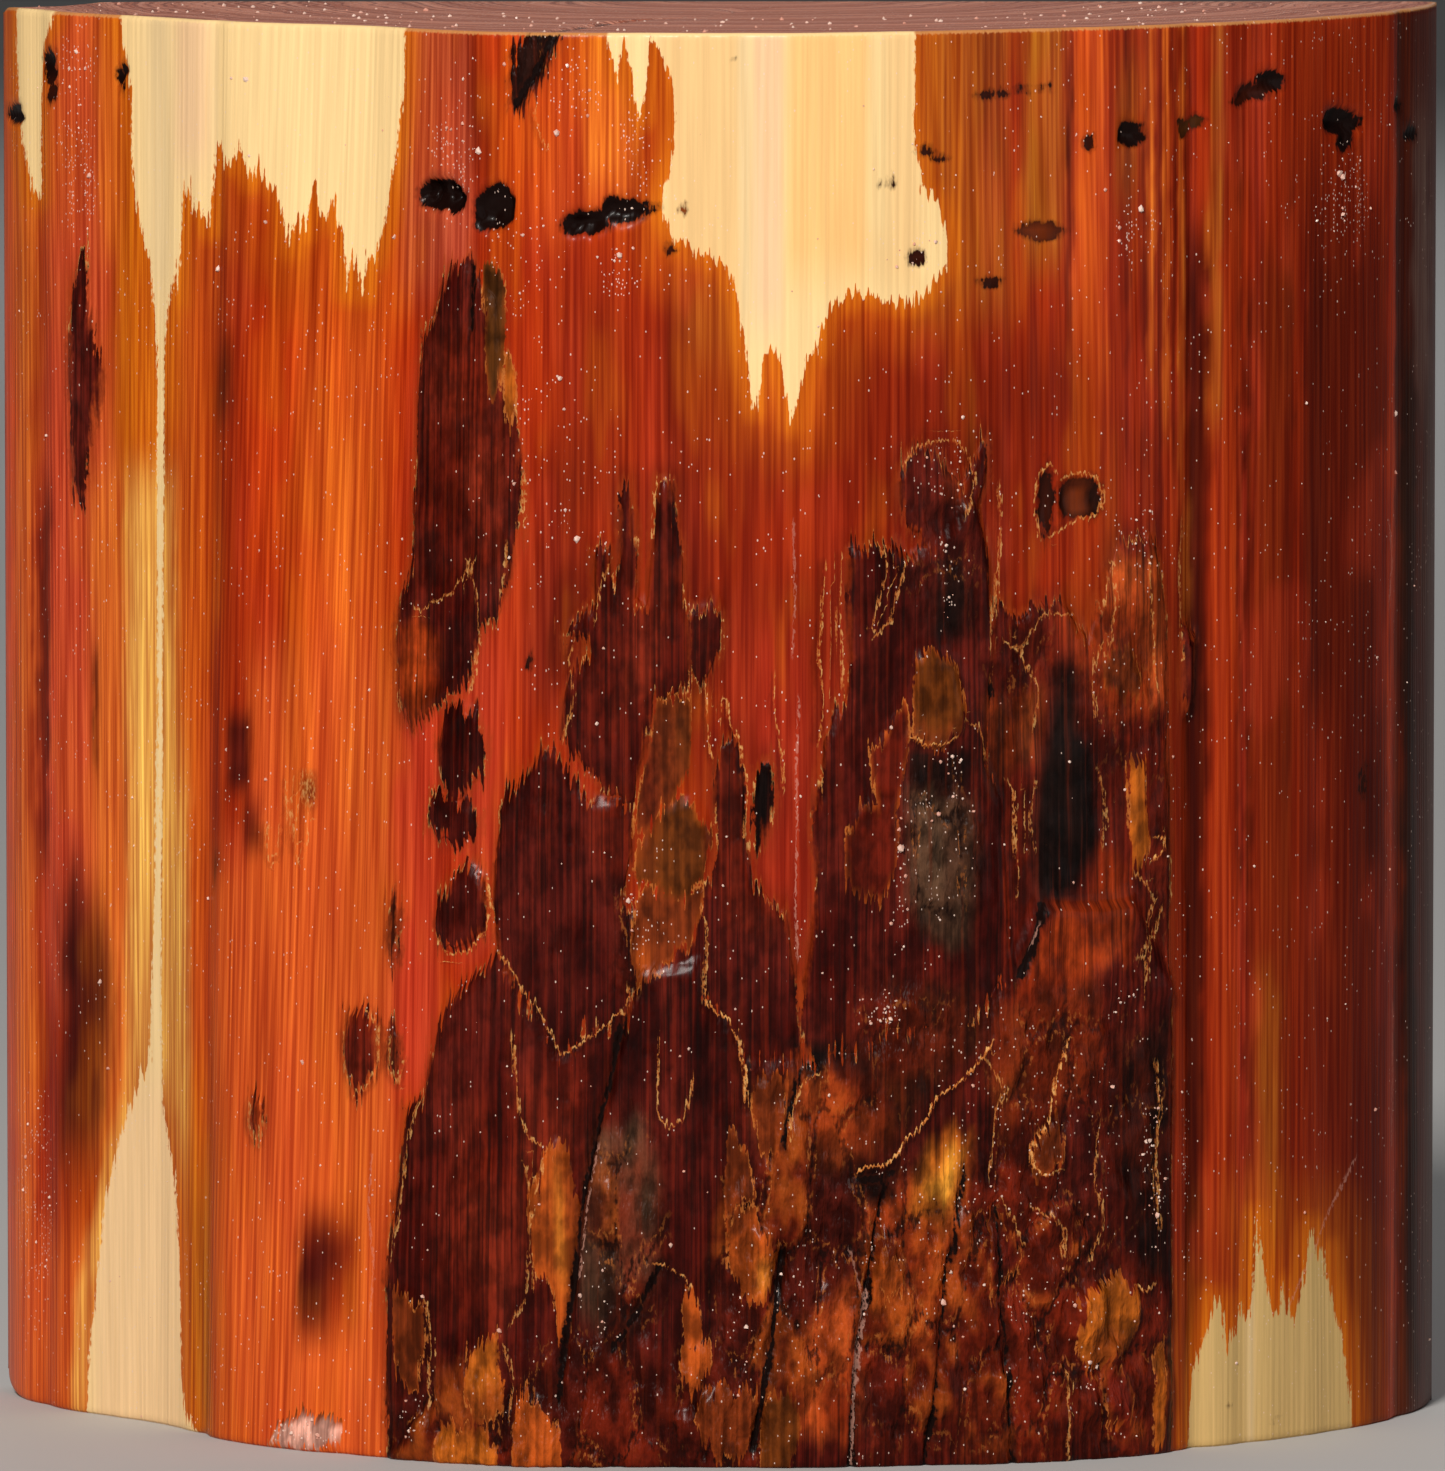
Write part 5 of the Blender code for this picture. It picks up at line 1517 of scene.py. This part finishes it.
@dataclass
class LogSkin:
    """The finely divided skin of the log, which stands for the CAD solid."""

    section: LogSection
    surface: SurfaceMap
    plan_level: float = 60.0
    bark_step: float = 0.405
    wood_step: float = 0.62
    bark_from: float = -30.5
    bark_to: float = 49.5
    corner_columns: int = 5
    back_columns: int = 18
    rows: int = 182
    rim_rows: tuple[float, float] = (0.3, 0.9)
    rim_round: float = 0.22
    # Rings of the two ends, as shares of the rim's size
    top_rings: tuple = (0.9975, 0.993, 0.984, 0.97, 0.945, 0.90, 0.82, 0.70, 0.54, 0.34)
    base_rings: tuple = (0.993, 0.90, 0.5)
    ring_centre: tuple[float, float] = (0.0, 8.0)
    end_reach: float = 4.0
    seam_gap: float = 0.002
    back_margin: float = 0.4
    # The drying check across the sawn top: x, y pairs in millimetres
    check_path: tuple = (-13.5, -28.0, -9.0, -12.0, -4.0, 2.0, 3.0, 16.0)
    check_width: float = 0.8
    check_depth: float = 0.7
    angles: Array = field(init=False)
    levels: Array = field(init=False)

    def __post_init__(self) -> None:
        """Lay out the columns and rows."""
        table = np.linspace(-self.section.last_angle, self.section.last_angle, 3001)
        base = self.section.skin(table, np.array(self.plan_level), 0.0)
        steps = np.hypot(*np.diff(base[:, :2], axis=0).T)
        over_bark = (table[1:] > self.bark_from) & (table[1:] < self.bark_to)
        count = np.concatenate([[0], np.cumsum(steps / np.where(over_bark, self.bark_step, self.wood_step))])
        self.angles = np.interp(np.linspace(0, count[-1], round(count[-1]) + 1), count, table)
        top, (near, inner) = self.section.height, self.rim_rows
        middle = np.linspace(inner, top - inner, self.rows - 4)
        self.levels = np.concatenate([[0, near], middle, [top - near, top]])

    def flat_columns(self) -> tuple[Array, Array]:
        """Outline points of the right corner and the right half of the back, in order."""
        s = self.section
        turn = np.radians(np.linspace(0, 90, self.corner_columns + 2)[1:])
        centre_x, centre_y = s.half_width - s.corner, s.back_y - s.corner
        corner_x, corner_y = centre_x + s.corner * np.cos(turn), centre_y + s.corner * np.sin(turn)
        back_x = np.linspace(centre_x, 0, self.back_columns // 2 + 1)[1:]
        return np.concatenate([corner_x, back_x]), np.concatenate([corner_y, np.full(len(back_x), s.back_y)])

    def side_points(self) -> tuple[Array, dict[str, Array], Array]:
        """Points and fields of every row and column.

        Returns:
            Points as rows by columns by 3, the fields for each of them, and grain places.
        """
        s, rows = self.section, len(self.levels)
        u, v = self.surface.picture(self.angles, self.levels)
        turned, raised = np.meshgrid(self.angles, self.levels)
        found = self.surface.fields(u.ravel(), v.ravel())
        lift = self.surface.relief(turned.ravel(), u.ravel(), v.ravel(), found).reshape(u.shape)
        lift[[0, -1]] -= self.rim_round
        curved = s.skin(turned, raised, lift)
        flat_x, flat_y = self.flat_columns()
        inset = np.zeros(rows)
        inset[[0, -1]] = self.rim_round
        right = np.stack(np.broadcast_arrays(flat_x, flat_y - inset[:, None], self.levels[:, None]), -1)
        left = right[:, ::-1] * np.array([-1, 1, 1])
        points = np.concatenate([left, curved, right], 1)
        width = len(flat_x)
        padded = {}
        down = np.gradient(v, axis=0)
        keys = ("cream", "bark", "flake")
        slopes = [np.abs(np.gradient(found[key].reshape(u.shape), axis=0) / down) * 10 for key in keys]
        found["slopes"] = np.clip(np.stack(slopes, -1), 0, 1)
        for name, values in found.items():
            grid = values.reshape(rows, len(self.angles), -1)
            padded[name] = np.concatenate([grid[:, :1].repeat(width, 1), grid, grid[:, -1:].repeat(width, 1)], 1)
        steps = np.hypot(*np.diff(points[rows // 3, :, :2], axis=0).T)
        arc = np.concatenate([[0], np.cumsum(steps)])
        arc -= arc[len(arc) // 2]
        place = np.zeros_like(points)
        place[..., 0], place[..., 1] = arc, points[..., 2]
        place[:, :width, 0], place[:, -width:, 0] = left[..., 0], right[..., 0]
        return points, padded, place

    def wrap_grid(self) -> bpy.types.Object:
        """A flat grid wrapped round the log, open at both ends."""
        points, found, place = self.side_points()
        rows, columns = points.shape[:2]
        deselect_all()
        bpy.ops.mesh.primitive_grid_add(x_subdivisions=columns - 1, y_subdivisions=rows - 1, size=2.0)
        piece = bpy.context.object
        mesh = piece.data
        flat = read(mesh.vertices, "co", 3)
        column = np.rint((flat[:, 0] + 1) / 2 * (columns - 1)).astype(int)
        row = np.rint((flat[:, 1] + 1) / 2 * (rows - 1)).astype(int)
        settled = self.section.settle(points[row, column])
        mesh.vertices.foreach_set("co", (settled * MM).ravel())
        self.store(mesh, "grain_place", "FLOAT_VECTOR", place[row, column])
        for name, values in found.items():
            kind = {1: "FLOAT", 3: "FLOAT_VECTOR", 4: "FLOAT_COLOR"}[values.shape[-1]]
            self.store(mesh, name, kind, values[row, column])
        self.store(mesh, "rim_share", "FLOAT", np.ones(len(flat)))
        self.store(mesh, "below_top", "FLOAT", self.section.height - points[row, column, 2])
        return piece

    @staticmethod
    def store(mesh: bpy.types.Mesh, name: str, kind: str, values: Array) -> None:
        """Keep one value, colour or vector for each vertex."""
        made = mesh.attributes.new(name, kind, "POINT")
        key = {"FLOAT": "value", "FLOAT_VECTOR": "vector", "FLOAT_COLOR": "color"}[kind]
        made.data.foreach_set(key, np.ascontiguousarray(values, dtype=np.float32).ravel())

    def close_end(self, piece: bpy.types.Object, level: float, rings: tuple) -> None:
        """Close one end with rings drawn in from the rim.

        Args:
            piece: The open skin.
            level: Height of that end.
            rings: Share of the rim's size for each ring, outermost first.
        """
        mesh = piece.data
        height = read(mesh.vertices, "co", 3)[:, 2] / MM
        with editing():
            bpy.ops.mesh.select_all(action="DESELECT")
            bpy.ops.mesh.select_mode(type="VERT")
            bpy.ops.mesh.select_non_manifold(extend=False)
        picked = read(mesh.vertices, "select", kind=bool) & (np.abs(height - level) < self.end_reach)
        mesh.vertices.foreach_set("select", picked)
        mesh.update()
        with editing():
            bpy.ops.mesh.select_mode(type="EDGE")
            centre = (self.ring_centre[0] * MM, self.ring_centre[1] * MM, level * MM)
            for size, ring in zip((1.0, *rings), rings):
                bpy.ops.mesh.extrude_edges_indiv()
                scale = ring / size
                bpy.ops.transform.resize(value=(scale, scale, 1.0), center_override=centre)
            bpy.ops.mesh.extrude_edges_indiv()
            bpy.ops.mesh.merge(type="CENTER")

    def build(self) -> bpy.types.Object:
        """Model the skin and dress it."""
        piece = self.wrap_grid()
        with editing():
            bpy.ops.mesh.select_all(action="SELECT")
            bpy.ops.mesh.remove_doubles(threshold=self.seam_gap * MM)
        side_count = len(piece.data.vertices)
        self.close_end(piece, self.section.height, self.top_rings)
        top_count = len(piece.data.vertices)
        self.close_end(piece, 0.0, self.base_rings)
        self.finish_ends(piece.data, side_count, top_count)
        self.assign_slots(piece.data, side_count)
        finishes = (WaxedRoundSide(), SawnEnd(), SawnBack())
        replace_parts(dress(piece, "half_log_skin", [finish.material() for finish in finishes]), "half_log")
        return piece

    def finish_ends(self, mesh: bpy.types.Mesh, side_count: int, top_count: int) -> None:
        """Level the top cap, cut the check across the top and note each vertex's share of the rim."""
        points = read(mesh.vertices, "co", 3) / MM
        caps = np.arange(len(points)) >= side_count
        top = caps & (points[:, 2] > self.section.height / 2)
        share = np.ones(len(points))
        rim = len(self.angles) + 2 * len(self.flat_columns()[0]) - 1
        rings = np.array(self.top_rings + (0.0,))
        share[side_count:top_count] = rings[np.minimum(np.arange(top_count - side_count) // rim, len(rings) - 1)]
        depth = Trail(self.check_path, self.check_width).depth_inside(points[:, 0], points[:, 1])
        level = self.section.settle(points * [1, 1, 0] + [0, 0, self.section.height])[:, 2]
        points[top, 2] = level[top] - self.check_depth * ease(depth[top], -0.4, 0.6)
        mesh.vertices.foreach_set("co", (points * MM).ravel())
        mesh.attributes["rim_share"].data.foreach_set("value", share.astype(np.float32))
        pit = mesh.attributes["pit"].data
        marked = read(pit, "value", kind=np.float32)
        marked[top] = depth[top]
        pit.foreach_set("value", marked)
        mesh.update()

    def assign_slots(self, mesh: bpy.types.Mesh, side_count: int) -> None:
        """Give the round side, the ends and the back their material slots, and shade them."""
        centres = read(mesh.polygons, "center", 3) / MM
        last = np.array([max(polygon.vertices) for polygon in mesh.polygons])
        slots = np.where(centres[:, 1] > self.section.back_y - self.back_margin, 2, 0)
        slots = np.where(last >= side_count, 1, slots)
        mesh.polygons.foreach_set("material_index", slots)
        mesh.polygons.foreach_set("use_smooth", np.ones(len(last), bool))
        mesh.update()


@dataclass
class WaxCrumbs:
    """Crumbs of wax standing on the round side and on the sawn top."""

    section: LogSection
    surface: SurfaceMap
    tries: int = 30000
    count: int = 1500
    top_count: int = 160
    bare_share: float = 0.012
    growth: tuple[float, float] = (1.5, 0.06)
    smallest: float = 0.045
    largest: float = 0.42
    top_sizes: tuple[float, float] = (0.08, 0.3)
    lumpiness: tuple[float, float] = (0.6, 1.3)
    seed: int = 7

    def places(self, random: np.random.Generator) -> tuple[Array, Array]:
        """Centres and radii of the crumbs on the round side."""
        u, v = random.uniform(10, 1432, self.tries), random.uniform(40, 1440, self.tries)
        wanted = self.bare_share + self.surface.spots(CRUMB_SPOTS, u, v) ** 2
        wanted *= 0.35 + ease(Noise.CRUMB_ROWS.at(u, v), -0.1, 0.7)
        picked = np.flatnonzero(random.random(len(u)) < wanted)[: self.count]
        u, v = u[picked], v[picked]
        angle, level = self.surface.locate(u, v)
        found = self.surface.fields(u, v)
        lift = self.surface.relief(angle, u, v, found)
        size = random.gamma(*self.growth, len(u)) + self.smallest
        return self.section.settle(self.section.skin(angle, level, lift)), np.minimum(size, self.largest)

    def build(self) -> bpy.types.Object:
        """Model one crumb and copy it to every place."""
        random = np.random.default_rng(self.seed)
        centres, sizes = self.places(random)
        s, turn = self.section, np.radians(random.uniform(-88, 88, self.top_count))
        reach = s.radius(np.degrees(turn), np.array(s.height)) * random.uniform(0.55, 0.99, self.top_count)
        tops = np.stack([reach * np.sin(turn), s.back_y - reach * np.cos(turn), 0 * turn + s.height], -1)
        centres = np.concatenate([centres, s.settle(tops)])
        sizes = np.concatenate([sizes, random.uniform(*self.top_sizes, self.top_count)])
        deselect_all()
        bpy.ops.mesh.primitive_ico_sphere_add(subdivisions=1, radius=1.0)
        crumb = bpy.context.object
        shape = np.array([vertex.co for vertex in crumb.data.vertices])
        faces = np.array([polygon.vertices for polygon in crumb.data.polygons])
        scale = random.uniform(*self.lumpiness, (len(centres), len(shape), 1)) * sizes[:, None, None]
        points = (centres[:, None] + shape * scale).reshape(-1, 3) * MM
        every = (faces[None] + len(shape) * np.arange(len(centres))[:, None, None]).reshape(-1, 3)
        mesh = bpy.data.meshes.new("wax_crumbs")
        mesh.from_pydata(points.tolist(), [], every.tolist())
        old = crumb.data
        crumb.data = mesh
        bpy.data.meshes.remove(old)
        return dress(crumb, "wax_crumbs", [CrumbFinish().material()])


@dataclass(frozen=True)
class Studio:
    """Plain pale floor, soft lights and a pale world."""

    floor_half: float = 3.0

    def floor(self) -> None:
        """A pale floor under the log."""
        deselect_all()
        bpy.ops.mesh.primitive_plane_add(size=2 * self.floor_half, location=(0, 0, 0))
        floor = bpy.context.object
        floor.name = "studio_floor"
        w, material = Wiring.material("studio_floor")
        spot = w.put("ShaderNodeTexCoord", {}, "Object")
        cloud = w.put("ShaderNodeTexNoise", {"Vector": spot, "Scale": 3.0})
        tone = w.mix(cloud, (0.50, 0.49, 0.48, 1.0), (0.56, 0.55, 0.54, 1.0))
        w.surface(tone, 0.7, 0.0)
        floor.data.materials.append(material)

    def light(self, name: str, place: tuple, size: float, power: float, tint: tuple) -> None:
        """One square area light aimed at the middle of the log."""
        data = bpy.data.lights.new(name, "AREA")
        data.shape, data.size, data.energy, data.color = "SQUARE", size, power, tint
        lamp = bpy.data.objects.new(name, data)
        lamp.location = place
        aim = Vector((0, 0, 0.08)) - lamp.location
        lamp.rotation_euler = aim.to_track_quat("-Z", "Y").to_euler()
        bpy.context.scene.collection.objects.link(lamp)

    def build(self) -> None:
        """Floor, lights and a pale world."""
        self.floor()
        self.light("key", (-0.34, -1.60, 1.15), 0.35, 39.0, (1.0, 0.965, 0.92))
        self.light("fill", (1.6, -1.0, 0.5), 1.2, 5.0, (1.0, 0.98, 0.96))
        self.light("rear", (0.3, 1.8, 1.2), 1.6, 8.0, (1.0, 1.0, 1.0))
        world = bpy.data.worlds.new("studio")
        world.use_nodes = True
        back = world.node_tree.nodes["Background"]
        back.inputs["Color"].default_value = (0.80, 0.82, 0.84, 1.0)
        back.inputs["Strength"].default_value = 0.07
        bpy.context.scene.world = world
        bpy.context.scene.view_settings.view_transform = "Standard"


def main() -> None:
    """Build every piece of the look, then the studio and the camera."""
    logging.basicConfig(level=logging.INFO, format="%(message)s")
    section, view = LogSection(), LogView()
    surface = SurfaceMap(section, view)
    LogSkin(section, surface).build()
    WaxCrumbs(section, surface).build()
    Studio().build()
    view.add_camera()


if __name__ == "__main__":
    main()
